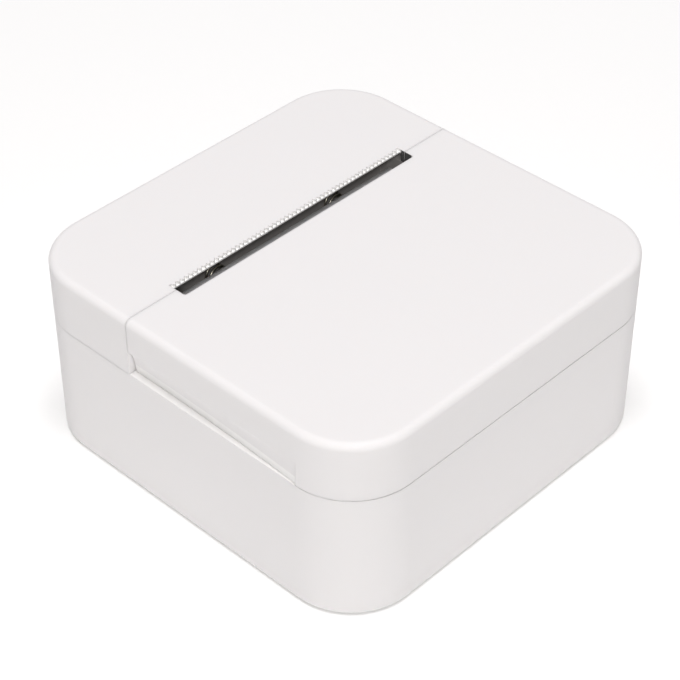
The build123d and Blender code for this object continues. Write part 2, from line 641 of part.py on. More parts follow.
with BuildPart() as head_driver_cover:
    with BuildSketch(across(-24.0)):
        Polygon((NIP_Y, 26.9), (NIP_Y + 0.4, 27.0), (NIP_Y + 0.4, 27.8), (NIP_Y, 28.1),
                align=None)
    extrude(amount=48.0)
head_driver_cover.part.label = "head_driver_cover"
export_step(head_driver_cover.part, "parts/head_driver_cover.step")

with BuildPart() as head_pivot_shaft:
    with BuildSketch(across(-CHASSIS_OUT)):
        with Locations((PIVOT_Y, PIVOT_Z)):
            Circle(PIVOT_R)
    extrude(amount=2 * CHASSIS_OUT)
head_pivot_shaft.part.label = "head_pivot_shaft"
export_step(head_pivot_shaft.part, "parts/head_pivot_shaft.step")


def coil_arcs(x, start_y, end_y):
    """Joins points on a helix about a Y-directed axis by two tangent arcs a quarter turn."""
    quarters = int(COIL_TURNS * 4)
    rise = (end_y - start_y) / quarters
    slope = rise / (math.pi / 2)

    def point(step):
        angle = step * math.pi / 2
        return Vector(x + COIL_R * math.cos(angle), start_y + rise * step,
                      SPRING_Z + COIL_R * math.sin(angle))

    def heading(step):
        angle = step * math.pi / 2
        return Vector(-COIL_R * math.sin(angle), slope, COIL_R * math.cos(angle)).normalized()

    for step in range(quarters):
        first, last = point(step), point(step + 1)
        out, arrive = heading(step), heading(step + 1)
        chord = last - first
        a = 2 * (out.dot(arrive) - 1)
        b = -2 * chord.dot(out + arrive)
        c = chord.dot(chord)
        reach = (-b - math.sqrt(b * b - 4 * a * c)) / (2 * a)
        joint = (first + last + (out - arrive) * reach) / 2
        TangentArc(first, joint, tangent=out)
        TangentArc(last, joint, tangent=arrive * -1)


def coil_gap(start_y, end_y):
    """Least gap between neighbouring turns, measured on points of the wire's centre line."""
    samples = int(COIL_TURNS * 48)
    spots = [(COIL_R * math.cos(2 * math.pi * i / 48), start_y + (end_y - start_y) * i / samples,
              COIL_R * math.sin(2 * math.pi * i / 48)) for i in range(samples + 1)]
    return min(math.dist(spots[i], spots[j]) for i in range(len(spots))
               for j in range(i + 24, len(spots))) - 2 * WIRE_R


# Coil springs that press the head against the roller
coil_start = PLATE_BACK_Y - 0.05 - WIRE_R
coil_end = SPRING_SEAT_Y + 0.05 + WIRE_R
for name, x in (("head_spring_left", -SPRING_X), ("head_spring_right", SPRING_X)):
    with BuildPart() as head_spring:
        with BuildLine() as coil:
            coil_arcs(x, coil_start, coil_end)
        coil_wire = coil.wires()[0]
        with BuildSketch(Plane(coil_wire @ 0, z_dir=coil_wire % 0)):
            Circle(WIRE_R)
        sweep(path=coil_wire)
    head_spring.part.label = name
    export_step(head_spring.part, "parts/" + name + ".step")
print("least gap between spring turns:", round(coil_gap(coil_start, coil_end), 3), "mm")


# Flexible cable from the head down to the circuit board
with BuildPart() as head_flex_cable:
    with BuildSketch(across(-29.0)):
        with Locations((FLEX_Y, BOARD_TOP + FLEX_INSERT)):
            Rectangle(FLEX_THICKNESS, FLEX_TOP - BOARD_TOP - FLEX_INSERT,
                      align=(Align.CENTER, Align.MIN))
    extrude(amount=FLEX_WIDTH)
head_flex_cable.part.label = "head_flex_cable"
export_step(head_flex_cable.part, "parts/head_flex_cable.step")


# Stepper motor, fixed inside the chassis wall, and its shaft with the pinion
with BuildPart() as stepper_motor:
    with BuildSketch(across(MOTOR_X[0])):
        with Locations((MOTOR_Y, MOTOR_Z)):
            Circle(MOTOR_R)
    extrude(amount=MOTOR_X[1] - MOTOR_X[0])
    fillet(stepper_motor.faces().sort_by(Axis.X)[-1].edges(), 0.6)
    with BuildSketch(across(MOTOR_X[0])):
        with Locations((MOTOR_Y, MOTOR_Z)):
            Circle(MOTOR_SHAFT_R + RUNNING)
    extrude(amount=4.0, mode=Mode.SUBTRACT)
    with BuildSketch(across(MOTOR_X[1])):
        with Locations((MOTOR_Y, MOTOR_Z)):
            Circle(2.6)
    extrude(amount=0.8)
stepper_motor.part.label = "stepper_motor"
export_step(stepper_motor.part, "parts/stepper_motor.step")

with BuildPart() as motor_shaft:
    with BuildSketch(across(OUTER_LAYER[0] - 0.3)):
        with Locations((MOTOR_Y, MOTOR_Z)):
            Circle(MOTOR_SHAFT_R)
    extrude(amount=MOTOR_X[0] + 3.6 - OUTER_LAYER[0] + 0.3)
motor_shaft.part.label = "motor_shaft"
export_step(motor_shaft.part, "parts/motor_shaft.step")


# Flat cable from the motor's underside down to its socket
with BuildPart() as motor_flex_cable:
    with BuildSketch(across(MOTOR_SOCKET_X - MOTOR_FLEX_WIDTH / 2)):
        with Locations((MOTOR_Y, BOARD_TOP + FLEX_INSERT)):
            Rectangle(MOTOR_FLEX_THICKNESS, MOTOR_Z - MOTOR_R - BOARD_TOP - FLEX_INSERT,
                      align=(Align.CENTER, Align.MIN))
    extrude(amount=MOTOR_FLEX_WIDTH)
motor_flex_cable.part.label = "motor_flex_cable"
export_step(motor_flex_cable.part, "parts/motor_flex_cable.step")


# Directions from each gear's centre to the next, in the (Y, Z) plane
to_idler = math.atan2(IDLER_Z - PLATEN_Z, IDLER_Y - PLATEN_Y)
to_motor = math.atan2(MOTOR_Z - IDLER_Z, MOTOR_Y - IDLER_Y)

with BuildPart() as motor_pinion:
    with BuildSketch(across(OUTER_LAYER[0])):
        with BuildLine():
            Polyline(gear_points(PINION_TEETH, to_motor + math.pi + math.pi / PINION_TEETH,
                                 (MOTOR_Y, MOTOR_Z)), close=True)
        make_face()
        with Locations((MOTOR_Y, MOTOR_Z)):
            Circle(MOTOR_SHAFT_R + 0.01, mode=Mode.SUBTRACT)
    extrude(amount=OUTER_LAYER[1] - OUTER_LAYER[0])
motor_pinion.part.label = "motor_pinion"
export_step(motor_pinion.part, "parts/motor_pinion.step")

with BuildPart() as idler_gear:
    with BuildSketch(across(OUTER_LAYER[0])):
        with BuildLine():
            Polyline(gear_points(IDLER_LARGE_TEETH, to_motor, (IDLER_Y, IDLER_Z)),
                     close=True)
        make_face()
    extrude(amount=OUTER_LAYER[1] - OUTER_LAYER[0])
    with BuildSketch(across(OUTER_LAYER[1])):
        with BuildLine():
            Polyline(gear_points(IDLER_SMALL_TEETH,
                                 to_idler + math.pi + math.pi / IDLER_SMALL_TEETH,
                                 (IDLER_Y, IDLER_Z)), close=True)
        make_face()
    extrude(amount=INNER_LAYER[1] - OUTER_LAYER[1])
    with BuildSketch(across(OUTER_LAYER[0])):
        with Locations((IDLER_Y, IDLER_Z)):
            Circle(AXLE_R + RUNNING)
    extrude(amount=INNER_LAYER[1] - OUTER_LAYER[0], mode=Mode.SUBTRACT)
    # Recess in the outer face of the large wheel
    with BuildSketch(across(OUTER_LAYER[0])):
        with Locations((IDLER_Y, IDLER_Z)):
            Circle(8.2)
            Circle(3.0, mode=Mode.SUBTRACT)
    extrude(amount=0.8, mode=Mode.SUBTRACT)
idler_gear.part.label = "idler_gear"
export_step(idler_gear.part, "parts/idler_gear.step")

with BuildPart() as idler_axle:
    with BuildSketch(across(GEAR_COVER_X[0])):
        with Locations((IDLER_Y, IDLER_Z)):
            Circle(AXLE_R)
    extrude(amount=-CHASSIS_IN - GEAR_COVER_X[0])
idler_axle.part.label = "idler_axle"
export_step(idler_axle.part, "parts/idler_axle.step")

with BuildPart() as gear_cover:
    with BuildSketch(across(GEAR_COVER_X[0])):
        with Locations((IDLER_Y, IDLER_Z)):
            Circle(9.6)
        with Locations((MOTOR_Y, MOTOR_Z)):
            Circle(4.4)
        with Locations(*GEAR_COVER_SCREWS):
            Circle(2.4)
        make_hull()
        with Locations((IDLER_Y, IDLER_Z)):
            Circle(AXLE_R + 0.01, mode=Mode.SUBTRACT)
        with Locations(*GEAR_COVER_SCREWS):
            Circle(0.9, mode=Mode.SUBTRACT)
    extrude(amount=GEAR_COVER_X[1] - GEAR_COVER_X[0])
gear_cover.part.label = "gear_cover"
export_step(gear_cover.part, "parts/gear_cover.step")


# Platen: rubber roller on a steel shaft, gear at one end, clip at the other, two bushes
with BuildPart() as platen_roller:
    with BuildSketch(across(-PLATEN_HALF)):
        with Locations((PLATEN_Y, PLATEN_Z)):
            Circle(PLATEN_R)
            Circle(PLATEN_SHAFT_R + 0.01, mode=Mode.SUBTRACT)
    extrude(amount=2 * PLATEN_HALF)
platen_roller.part.label = "platen_roller"
export_step(platen_roller.part, "parts/platen_roller.step")

with BuildPart() as platen_shaft:
    with BuildSketch(across(INNER_LAYER[0] - 0.1)):
        with Locations((PLATEN_Y, PLATEN_Z)):
            Circle(PLATEN_SHAFT_R)
    extrude(amount=33.0 - INNER_LAYER[0] + 0.1)
    # Groove for the clip
    with BuildSketch(across(31.7)):
        with Locations((PLATEN_Y, PLATEN_Z)):
            Circle(PLATEN_SHAFT_R + 0.2)
            Circle(1.1, mode=Mode.SUBTRACT)
    extrude(amount=0.6, mode=Mode.SUBTRACT)
platen_shaft.part.label = "platen_shaft"
export_step(platen_shaft.part, "parts/platen_shaft.step")

with BuildPart() as platen_clip:
    with BuildSketch(across(31.75)):
        with Locations((PLATEN_Y, PLATEN_Z)):
            Circle(2.7)
            Circle(1.12, mode=Mode.SUBTRACT)
        Polygon((PLATEN_Y - 0.8, PLATEN_Z), (PLATEN_Y + 0.8, PLATEN_Z),
                (PLATEN_Y + 1.3, PLATEN_Z + 3.2), (PLATEN_Y - 1.3, PLATEN_Z + 3.2),
                align=None, mode=Mode.SUBTRACT)
    extrude(amount=0.5)
platen_clip.part.label = "platen_clip"
export_step(platen_clip.part, "parts/platen_clip.step")

with BuildPart() as platen_gear:
    with BuildSketch(across(INNER_LAYER[0])):
        with BuildLine():
            Polyline(gear_points(PLATEN_TEETH, to_idler, (PLATEN_Y, PLATEN_Z)), close=True)
        make_face()
        with Locations((PLATEN_Y, PLATEN_Z)):
            Circle(PLATEN_SHAFT_R + 0.01, mode=Mode.SUBTRACT)
    extrude(amount=INNER_LAYER[1] - INNER_LAYER[0])
platen_gear.part.label = "platen_gear"
export_step(platen_gear.part, "parts/platen_gear.step")

for name, side in (("platen_bush_left", -1), ("platen_bush_right", 1)):
    with BuildPart() as platen_bush:
        with BuildSketch(across(side * (PLATEN_HALF + 0.3))):
            with Locations((PLATEN_Y, PLATEN_Z)):
                Circle(BUSH_R)
                Circle(PLATEN_SHAFT_R + RUNNING, mode=Mode.SUBTRACT)
        extrude(amount=side * (CHASSIS_OUT - PLATEN_HALF - 0.3))
        with BuildSketch(across(side * (CHASSIS_IN - 0.35))):
            with Locations((PLATEN_Y, PLATEN_Z)):
                Circle(BUSH_R + 0.7)
                Circle(BUSH_R - 0.1, mode=Mode.SUBTRACT)
        extrude(amount=side * 0.25)
    platen_bush.part.label = name
    export_step(platen_bush.part, "parts/" + name + ".step")


# Circuit board: L-shaped, with holes where bosses pass
with BuildPart() as main_board:
    with BuildSketch(level(BOARD_TOP - BOARD_THICKNESS)):
        with Locations((-28.9, -20.0)):
            Rectangle(19.4, 37.0)
        with Locations((-10.0, -36.3)):
            Rectangle(46.0, 4.4)
        with Locations((-38.5, -35.5)):
            Rectangle(15.0, 15.0, mode=Mode.SUBTRACT)
        with Locations((-27.0, -32.0)):
            Circle(2.9, mode=Mode.SUBTRACT)
        with Locations(*BOARD_SCREWS):
            Circle(1.1, mode=Mode.SUBTRACT)
    extrude(amount=BOARD_THICKNESS)
main_board.part.label = "main_board"
export_step(main_board.part, "parts/main_board.step")

with BuildPart() as board_components:
    for x, y, length, width, height in (
        (-28.0, -20.5, 7.0, 7.0, 0.9),
        (-24.0, -12.8, 11.0, 2.2, 2.4),
        (*BATTERY_SOCKET, BATTERY_SOCKET_LENGTH, 5.0, 3.0),
        (MOTOR_SOCKET_X, MOTOR_Y, 4.0, 2.0, MOTOR_SOCKET_HEIGHT),
        (-34.5, -14.5, 4.0, 4.0, 1.0),
        (-30.0, -8.6, 5.0, 4.0, 1.0),
        (-20.6, -34.6, 1.6, 0.8, 0.8),
    ):
        with BuildSketch(level(BOARD_TOP)):
            with Locations((x, y)):
                Rectangle(length, width)
        extrude(amount=height)
    # Slots of the two flat-cable sockets, a little deeper than the cables reach
    with BuildSketch(level(BOARD_TOP + FLEX_INSERT - 0.1)):
        with Locations((-24.0, FLEX_Y)):
            Rectangle(FLEX_WIDTH + 0.4, FLEX_THICKNESS + 0.15)
        with Locations((MOTOR_SOCKET_X, MOTOR_Y)):
            Rectangle(MOTOR_FLEX_WIDTH + 0.2, MOTOR_FLEX_THICKNESS + 0.1)
    extrude(amount=1.2, mode=Mode.SUBTRACT)
board_components.part.label = "board_components"
export_step(board_components.part, "parts/board_components.step")

with BuildPart() as usb_connector:
    with BuildSketch(across(-HALF + 0.3)):
        with Locations((USB_Y, USB_Z)):
            SlotOverall(8.94, 3.2)
    extrude(amount=7.3)
    with BuildSketch(across(-HALF + 0.3)):
        with Locations((USB_Y, USB_Z)):
            SlotOverall(8.3, 2.6)
            Rectangle(6.6, 0.7, mode=Mode.SUBTRACT)
    extrude(amount=5.8, mode=Mode.SUBTRACT)
usb_connector.part.label = "usb_connector"
export_step(usb_connector.part, "parts/usb_connector.step")


# Front controls
with BuildPart() as power_button:
    with BuildSketch(facing_front(-HALF)):
        with Locations((0, CONTROL_Z)):
            Circle(BUTTON_R)
    extrude(amount=-(HALF - 39.3))
    fillet(power_button.faces().sort_by(Axis.Y)[0].edges(), 0.4)
    with BuildSketch(facing_front(-39.8)):
        with Locations((0, CONTROL_Z)):
            Circle(BUTTON_R + 0.9)
    extrude(amount=-0.6)
    with BuildSketch(facing_front(-39.3)):
        with Locations((0, CONTROL_Z)):
            Circle(0.9)
    extrude(amount=-1.3)
power_button.part.label = "power_button"
export_step(power_button.part, "parts/power_button.step")

with BuildPart() as button_switch:
    with BuildSketch(level(BOARD_TOP)):
        with Locations((0, -35.8)):
            Rectangle(6.0, 3.0)
    extrude(amount=4.6)
button_switch.part.label = "button_switch"
export_step(button_switch.part, "parts/button_switch.step")

with BuildPart() as status_light:
    with BuildSketch(facing_front(-HALF)):
        with Locations((LIGHT_X, CONTROL_Z)):
            Circle(0.95)
    extrude(amount=-3.4)
    with BuildSketch(facing_front(-39.9)):
        with Locations((LIGHT_X, CONTROL_Z)):
            Circle(1.6)
    extrude(amount=-1.0)
    with BuildSketch(level(BOARD_TOP)):
        with Locations((LIGHT_X, -37.4)):
            Rectangle(2.0, 2.0)
    extrude(amount=CONTROL_Z - BOARD_TOP + 1.0)
status_light.part.label = "status_light"
export_step(status_light.part, "parts/status_light.step")


# Battery on its foam pad
with BuildPart() as battery_pad:
    with BuildSketch(level(FLOOR_TOP)):
        with Locations(BATTERY_CENTRE):
            Rectangle(BATTERY[0] - 8, BATTERY[1] - 8)
    extrude(amount=0.5)
battery_pad.part.label = "battery_pad"
export_step(battery_pad.part, "parts/battery_pad.step")

with BuildPart() as battery:
    with BuildSketch(level(FLOOR_TOP + 0.5)):
        with Locations(BATTERY_CENTRE):
            Rectangle(BATTERY[0], BATTERY[1])
    extrude(amount=BATTERY[2])
    fillet(battery.edges().filter_by(Axis.X), 2.0)
battery.part.label = "battery"
export_step(battery.part, "parts/battery.step")

# Two short leads from the cell's end to its socket on the board
with BuildPart() as battery_leads:
    lead_start = BATTERY_SOCKET[0] + BATTERY_SOCKET_LENGTH / 2
    with BuildSketch(across(lead_start)):
        for side in (-1, 1):
            with Locations((BATTERY_SOCKET[1] + side * LEAD_PITCH / 2, LEAD_Z)):
                Circle(LEAD_R)
    extrude(amount=BATTERY_CENTRE[0] - BATTERY[0] / 2 - lead_start)
battery_leads.part.label = "battery_leads"
export_step(battery_leads.part, "parts/battery_leads.step")


# Paper sensor in the chassis guide
with BuildPart() as paper_sensor:
    with BuildSketch(level(21.4)):
        with Locations((10.0, -6.2)):
            Rectangle(4.0, 3.0)
    extrude(amount=3.2)
paper_sensor.part.label = "paper_sensor"
export_step(paper_sensor.part, "parts/paper_sensor.step")


# Feet and fasteners
with BuildPart() as rubber_feet:
    with BuildSketch(level(0)):
        with Locations(*FEET):
            Circle(FOOT_R)
    extrude(amount=1.1)
    chamfer(rubber_feet.faces().group_by(Axis.Z)[0].edges(), 0.25)
rubber_feet.part.label = "rubber_feet"
export_step(rubber_feet.part, "parts/rubber_feet.step")

for name, places, base_z, sizes, up in (
    ("case_screws", CASE_SCREWS, CASE_BOTTOM + 5.5, (2.0, 1.3, 0.85, 12.0), True),
    ("bay_screws", BAY_SCREWS, DECK_TOP, (1.9, 1.1, 0.85, 7.0), False),
    ("chassis_screws", CHASSIS_SCREWS, EAR_Z + EAR_THICKNESS, (1.9, 1.1, 0.85, 7.0), False),
    ("board_screws", BOARD_SCREWS, BOARD_TOP, (1.7, 1.0, 0.85, 3.2), False),
    ("holder_screws", HOLDER_SCREWS, 34.2, (1.6, 1.0, 0.7, 3.8), True),
):
    with BuildPart() as screws:
        screw([(x, y, base_z) for x, y in places], *sizes, up=up)
    screws.part.label = name
    export_step(screws.part, "parts/" + name + ".step")

with BuildPart() as gear_cover_screws:
    with BuildSketch(across(GEAR_COVER_X[0] - 0.5)):
        with Locations(*GEAR_COVER_SCREWS):
            Circle(1.5)
    extrude(amount=0.5)
    with BuildSketch(across(GEAR_COVER_X[0])):
        with Locations(*GEAR_COVER_SCREWS):
            Circle(0.65)
    extrude(amount=3.6)
gear_cover_screws.part.label = "gear_cover_screws"
export_step(gear_cover_screws.part, "parts/gear_cover_screws.step")
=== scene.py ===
"""Looks of the pocket thermal printer: finishes, fine parts, light and camera around its CAD."""

import json
import math

import bmesh
import bpy
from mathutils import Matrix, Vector


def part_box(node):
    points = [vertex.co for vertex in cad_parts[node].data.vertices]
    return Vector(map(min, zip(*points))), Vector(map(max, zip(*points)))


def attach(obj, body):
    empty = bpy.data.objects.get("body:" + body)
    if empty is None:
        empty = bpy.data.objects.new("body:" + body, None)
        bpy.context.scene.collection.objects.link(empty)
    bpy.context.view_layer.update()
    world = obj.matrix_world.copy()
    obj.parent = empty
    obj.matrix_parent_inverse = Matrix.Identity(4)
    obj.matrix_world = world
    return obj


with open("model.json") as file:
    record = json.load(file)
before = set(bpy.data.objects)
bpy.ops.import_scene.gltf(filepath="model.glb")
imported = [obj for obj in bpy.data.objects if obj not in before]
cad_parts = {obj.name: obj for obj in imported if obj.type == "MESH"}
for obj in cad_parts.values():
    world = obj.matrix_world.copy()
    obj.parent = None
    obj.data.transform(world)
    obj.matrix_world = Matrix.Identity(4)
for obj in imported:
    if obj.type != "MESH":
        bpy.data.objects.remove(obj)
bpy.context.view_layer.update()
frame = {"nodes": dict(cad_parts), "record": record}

MM = 0.001
SLOT_OF = {entry["node"]: entry["material_slot"] for entry in frame["record"]["subparts"]}


def edges_of(node):
    """Lowest and highest corner of a CAD node at rest, in mm."""
    return [[round(value / MM, 3) for value in corner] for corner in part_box(node)]


# Places on the printer that its finishes and fine pieces keep to, in mm
COVER_LOW, COVER_HIGH = edges_of("cover_shell")
COVER_FRONT_Y = COVER_LOW[1]
CASE_HALF = COVER_HIGH[0]
CASE_TOP = COVER_HIGH[2]
CASE_BOTTOM = edges_of("base_case")[0][2]
SEAM_Z = edges_of("base_case")[1][2]
STRIP_END_Y = edges_of("front_top_case")[1][1]
BOARD_TOP = edges_of("main_board")[1][2]
HEAD_STRIP_LOW = edges_of("head_substrate")[0][2]
CEILING_Z = CASE_TOP - 2.0
CORNER_RADIUS = 13.4
TOP_EDGE_RADIUS = 1.4
BOTTOM_EDGE_RADIUS = 0.5
SLOT_HALF = 29.9
SLOT_REAR_Y = -10.55
SLOT_CORNER_RADIUS = 0.5
SCOOP_END_Y = 28.4
SIDES = (("left", -1), ("right", 1))


# Small helpers for node trees

def add_node(tree, kind, **settings):
    """Adds a node and sets its plain properties."""
    made = tree.nodes.new(kind)
    for name, value in settings.items():
        setattr(made, name, value)
    return made


def feed(tree, socket, value):
    """Links a socket to a value that is a socket, or sets it to one that is a number."""
    if isinstance(value, bpy.types.NodeSocket):
        tree.links.new(value, socket)
    else:
        socket.default_value = value


def math_node(tree, operation, first, second=0.0, clamp=False):
    """A Math node whose inputs are numbers or sockets; returns its result socket."""
    made = add_node(tree, "ShaderNodeMath", operation=operation, use_clamp=clamp)
    feed(tree, made.inputs[0], first)
    feed(tree, made.inputs[1], second)
    return made.outputs[0]


def mix_colour(tree, factor, first, second):
    """Mixes two colours by a mask socket; returns the colour socket."""
    made = add_node(tree, "ShaderNodeMix", data_type="RGBA")
    tree.links.new(factor, made.inputs["Factor"])
    for socket, value in ((made.inputs[6], first), (made.inputs[7], second)):
        feed(tree, socket, (*value, 1.0) if isinstance(value, tuple) else value)
    return made.outputs[2]


def noise_node(tree, vector, scale, detail, roughness=0.5):
    """A Noise texture; returns its value socket."""
    made = add_node(tree, "ShaderNodeTexNoise")
    tree.links.new(vector, made.inputs["Vector"])
    feed(tree, made.inputs["Scale"], scale)
    made.inputs["Detail"].default_value = detail
    made.inputs["Roughness"].default_value = roughness
    return made.outputs["Fac"]


def place_of(tree):
    """The socket of the point's place on its piece."""
    return add_node(tree, "ShaderNodeTexCoord").outputs["Object"]


def axes_of(tree, vector):
    """The X, Y and Z sockets of a vector."""
    made = add_node(tree, "ShaderNodeSeparateXYZ")
    tree.links.new(vector, made.inputs[0])
    return made.outputs["X"], made.outputs["Y"], made.outputs["Z"]


def stretched(tree, vector, x, y, z):
    """A vector with each axis multiplied by a number or socket."""
    factors = add_node(tree, "ShaderNodeCombineXYZ")
    for label, value in (("X", x), ("Y", y), ("Z", z)):
        feed(tree, factors.inputs[label], value)
    made = add_node(tree, "ShaderNodeVectorMath", operation="MULTIPLY")
    tree.links.new(vector, made.inputs[0])
    tree.links.new(factors.outputs["Vector"], made.inputs[1])
    return made.outputs["Vector"]


def new_group(name, inputs, outputs):
    """An empty shader group with named number inputs and named outputs."""
    tree = bpy.data.node_groups.new(name, "ShaderNodeTree")
    for label, value in inputs.items():
        socket = tree.interface.new_socket(name=label, in_out="INPUT",
                                           socket_type="NodeSocketFloat")
        socket.default_value = value
    for label, kind in outputs.items():
        tree.interface.new_socket(name=label, in_out="OUTPUT", socket_type=kind)
    return tree, tree.nodes.new("NodeGroupInput"), tree.nodes.new("NodeGroupOutput")


def use_group(tree, group, **values):
    """Places a group in a material with its own input values."""
    made = add_node(tree, "ShaderNodeGroup", node_tree=group)
    for label, value in values.items():
        made.inputs[label.replace("_", " ")].default_value = value
    return made


# Shader groups, each built once

def build_edge_wear():
    """Mask of outer edges, broken up by noise, with the softened normal that shows them."""
    tree, start, end = new_group(
        "Edge wear", {"Radius": 0.0003, "Contrast": 6.0, "Noise Scale": 900.0, "Amount": 1.0},
        {"Mask": "NodeSocketFloat", "Normal": "NodeSocketVector"})
    bevel = add_node(tree, "ShaderNodeBevel", samples=6)
    tree.links.new(start.outputs["Radius"], bevel.inputs["Radius"])
    geometry = add_node(tree, "ShaderNodeNewGeometry")
    facing = add_node(tree, "ShaderNodeVectorMath", operation="DOT_PRODUCT")
    tree.links.new(bevel.outputs["Normal"], facing.inputs[0])
    tree.links.new(geometry.outputs["Normal"], facing.inputs[1])
    turned = math_node(tree, "SUBTRACT", 1.0, facing.outputs["Value"])
    edge = math_node(tree, "MULTIPLY", turned, start.outputs["Contrast"], clamp=True)
    noise = noise_node(tree, place_of(tree), start.outputs["Noise Scale"], 3.0)
    broken = math_node(tree, "MULTIPLY", edge, noise)
    mask = math_node(tree, "MULTIPLY", broken, start.outputs["Amount"], clamp=True)
    tree.links.new(mask, end.inputs["Mask"])
    tree.links.new(bevel.outputs["Normal"], end.inputs["Normal"])
    return tree


def build_moulded_grain():
    """Fine spark-eroded texture of moulded plastic, with slow drifts of tone."""
    tree, start, end = new_group(
        "Moulded grain", {"Scale": 3500.0, "Drift Scale": 45.0},
        {"Height": "NodeSocketFloat", "Tone": "NodeSocketFloat"})
    place = place_of(tree)
    fine = noise_node(tree, place, start.outputs["Scale"], 4.0, 0.65)
    slow = noise_node(tree, place, start.outputs["Drift Scale"], 2.0)
    tree.links.new(fine, end.inputs["Height"])
    tree.links.new(slow, end.inputs["Tone"])
    return tree


def build_brushing():
    """Long fine scratches along X, as on drawn and ground metal."""
    tree, start, end = new_group(
        "Brushing", {"Scale": 9000.0, "Stretch": 0.02},
        {"Height": "NodeSocketFloat", "Tone": "NodeSocketFloat"})
    squeezed = stretched(tree, place_of(tree), start.outputs["Stretch"], 1.0, 1.0)
    noise = noise_node(tree, squeezed, start.outputs["Scale"], 5.0)
    tree.links.new(noise, end.inputs["Height"])
    tree.links.new(noise, end.inputs["Tone"])
    return tree


def build_turned_rings():
    """Rings round an X-directed axis, as a grinding wheel leaves them on a roller."""
    tree, start, end = new_group(
        "Turned rings", {"Scale": 5200.0, "Along": 0.06, "Drift Scale": 130.0},
        {"Height": "NodeSocketFloat", "Tone": "NodeSocketFloat"})
    place = place_of(tree)
    squeezed = stretched(tree, place, 1.0, start.outputs["Along"], start.outputs["Along"])
    rings = noise_node(tree, squeezed, start.outputs["Scale"], 3.0, 0.6)
    slow = noise_node(tree, place, start.outputs["Drift Scale"], 2.0)
    tree.links.new(rings, end.inputs["Height"])
    tree.links.new(slow, end.inputs["Tone"])
    return tree


def build_dust():
    """Mask of faint paper dust on faces that look up."""
    tree, start, end = new_group("Dust", {"Scale": 260.0, "Amount": 0.1},
                                 {"Mask": "NodeSocketFloat"})
    geometry = add_node(tree, "ShaderNodeNewGeometry")
    up = math_node(tree, "MAXIMUM", axes_of(tree, geometry.outputs["Normal"])[2], 0.0)
    noise = noise_node(tree, place_of(tree), start.outputs["Scale"], 6.0, 0.7)
    lying = math_node(tree, "MULTIPLY", up, noise)
    mask = math_node(tree, "MULTIPLY", lying, start.outputs["Amount"], clamp=True)
    tree.links.new(mask, end.inputs["Mask"])
    return tree


def build_stripes():
    """Even parallel stripes across X: the conductors of a flat cable or a print head."""
    tree, start, end = new_group("Stripes", {"Pitch": 0.0005, "Share": 0.5},
                                 {"Mask": "NodeSocketFloat"})
    x = axes_of(tree, place_of(tree))[0]
    turns = math_node(tree, "DIVIDE", x, start.outputs["Pitch"])
    phase = math_node(tree, "FRACT", turns)
    inside = math_node(tree, "LESS_THAN", phase, start.outputs["Share"])
    tree.links.new(inside, end.inputs["Mask"])
    return tree


def build_band(axis):
    """Mask of the part of a piece between two places along one axis."""
    tree, start, end = new_group("Band " + "XYZ"[axis], {"From": 0.0, "To": 0.001},
                                 {"Mask": "NodeSocketFloat"})
    value = axes_of(tree, place_of(tree))[axis]
    above = math_node(tree, "GREATER_THAN", value, start.outputs["From"])
    below = math_node(tree, "LESS_THAN", value, start.outputs["To"])
    tree.links.new(math_node(tree, "MULTIPLY", above, below), end.inputs["Mask"])
    return tree


def build_region():
    """Mask of what lies inside a box that is mirrored about the middle of the width."""
    tree, start, end = new_group(
        "Region", {"From X": 0.0, "To X": 0.03, "From Y": -0.01, "To Y": 0.01,
                   "From Z": 0.0, "To Z": 0.01}, {"Mask": "NodeSocketFloat"})
    x, y, z = axes_of(tree, place_of(tree))
    mask = None
    for value, axis in ((math_node(tree, "ABSOLUTE", x), "X"), (y, "Y"), (z, "Z")):
        above = math_node(tree, "GREATER_THAN", value, start.outputs["From " + axis])
        below = math_node(tree, "LESS_THAN", value, start.outputs["To " + axis])
        inside = math_node(tree, "MULTIPLY", above, below)
        mask = inside if mask is None else math_node(tree, "MULTIPLY", mask, inside)
    tree.links.new(mask, end.inputs["Mask"])
    return tree


def build_board_tracks():
    """Copper under the solder mask: angular tracks, and small round vias."""
    tree, start, end = new_group(
        "Board tracks", {"Track Scale": 420.0, "Tracks Per Cell": 3.0, "Track Share": 0.42,
                         "Via Scale": 330.0, "Via Radius": 0.07},
        {"Tracks": "NodeSocketFloat", "Vias": "NodeSocketFloat"})
    place = place_of(tree)
    cells = add_node(tree, "ShaderNodeTexVoronoi", feature="F1", distance="CHEBYCHEV",
                     voronoi_dimensions="2D")
    tree.links.new(place, cells.inputs["Vector"])
    tree.links.new(start.outputs["Track Scale"], cells.inputs["Scale"])
    turns = math_node(tree, "MULTIPLY", cells.outputs["Distance"],
                      start.outputs["Tracks Per Cell"])
    tracks = math_node(tree, "LESS_THAN", math_node(tree, "FRACT", turns),
                       start.outputs["Track Share"])
    dots = add_node(tree, "ShaderNodeTexVoronoi", feature="F1", voronoi_dimensions="2D")
    tree.links.new(place, dots.inputs["Vector"])
    tree.links.new(start.outputs["Via Scale"], dots.inputs["Scale"])
    vias = math_node(tree, "LESS_THAN", dots.outputs["Distance"], start.outputs["Via Radius"])
    tree.links.new(tracks, end.inputs["Tracks"])
    tree.links.new(vias, end.inputs["Vias"])
    return tree


EDGE_WEAR = build_edge_wear()
MOULDED_GRAIN = build_moulded_grain()
BRUSHING = build_brushing()
TURNED_RINGS = build_turned_rings()
DUST = build_dust()
STRIPES = build_stripes()
BAND_X = build_band(0)
BAND_Z = build_band(2)
BOARD_TRACKS = build_board_tracks()
REGION = build_region()


# Materials

PAPER_DUST = (0.62, 0.61, 0.59)
GILT = (0.63, 0.50, 0.26)

# How far light of each colour runs inside white plastic, red the furthest
GLOW_REACH = (1.0, 0.96, 0.92)

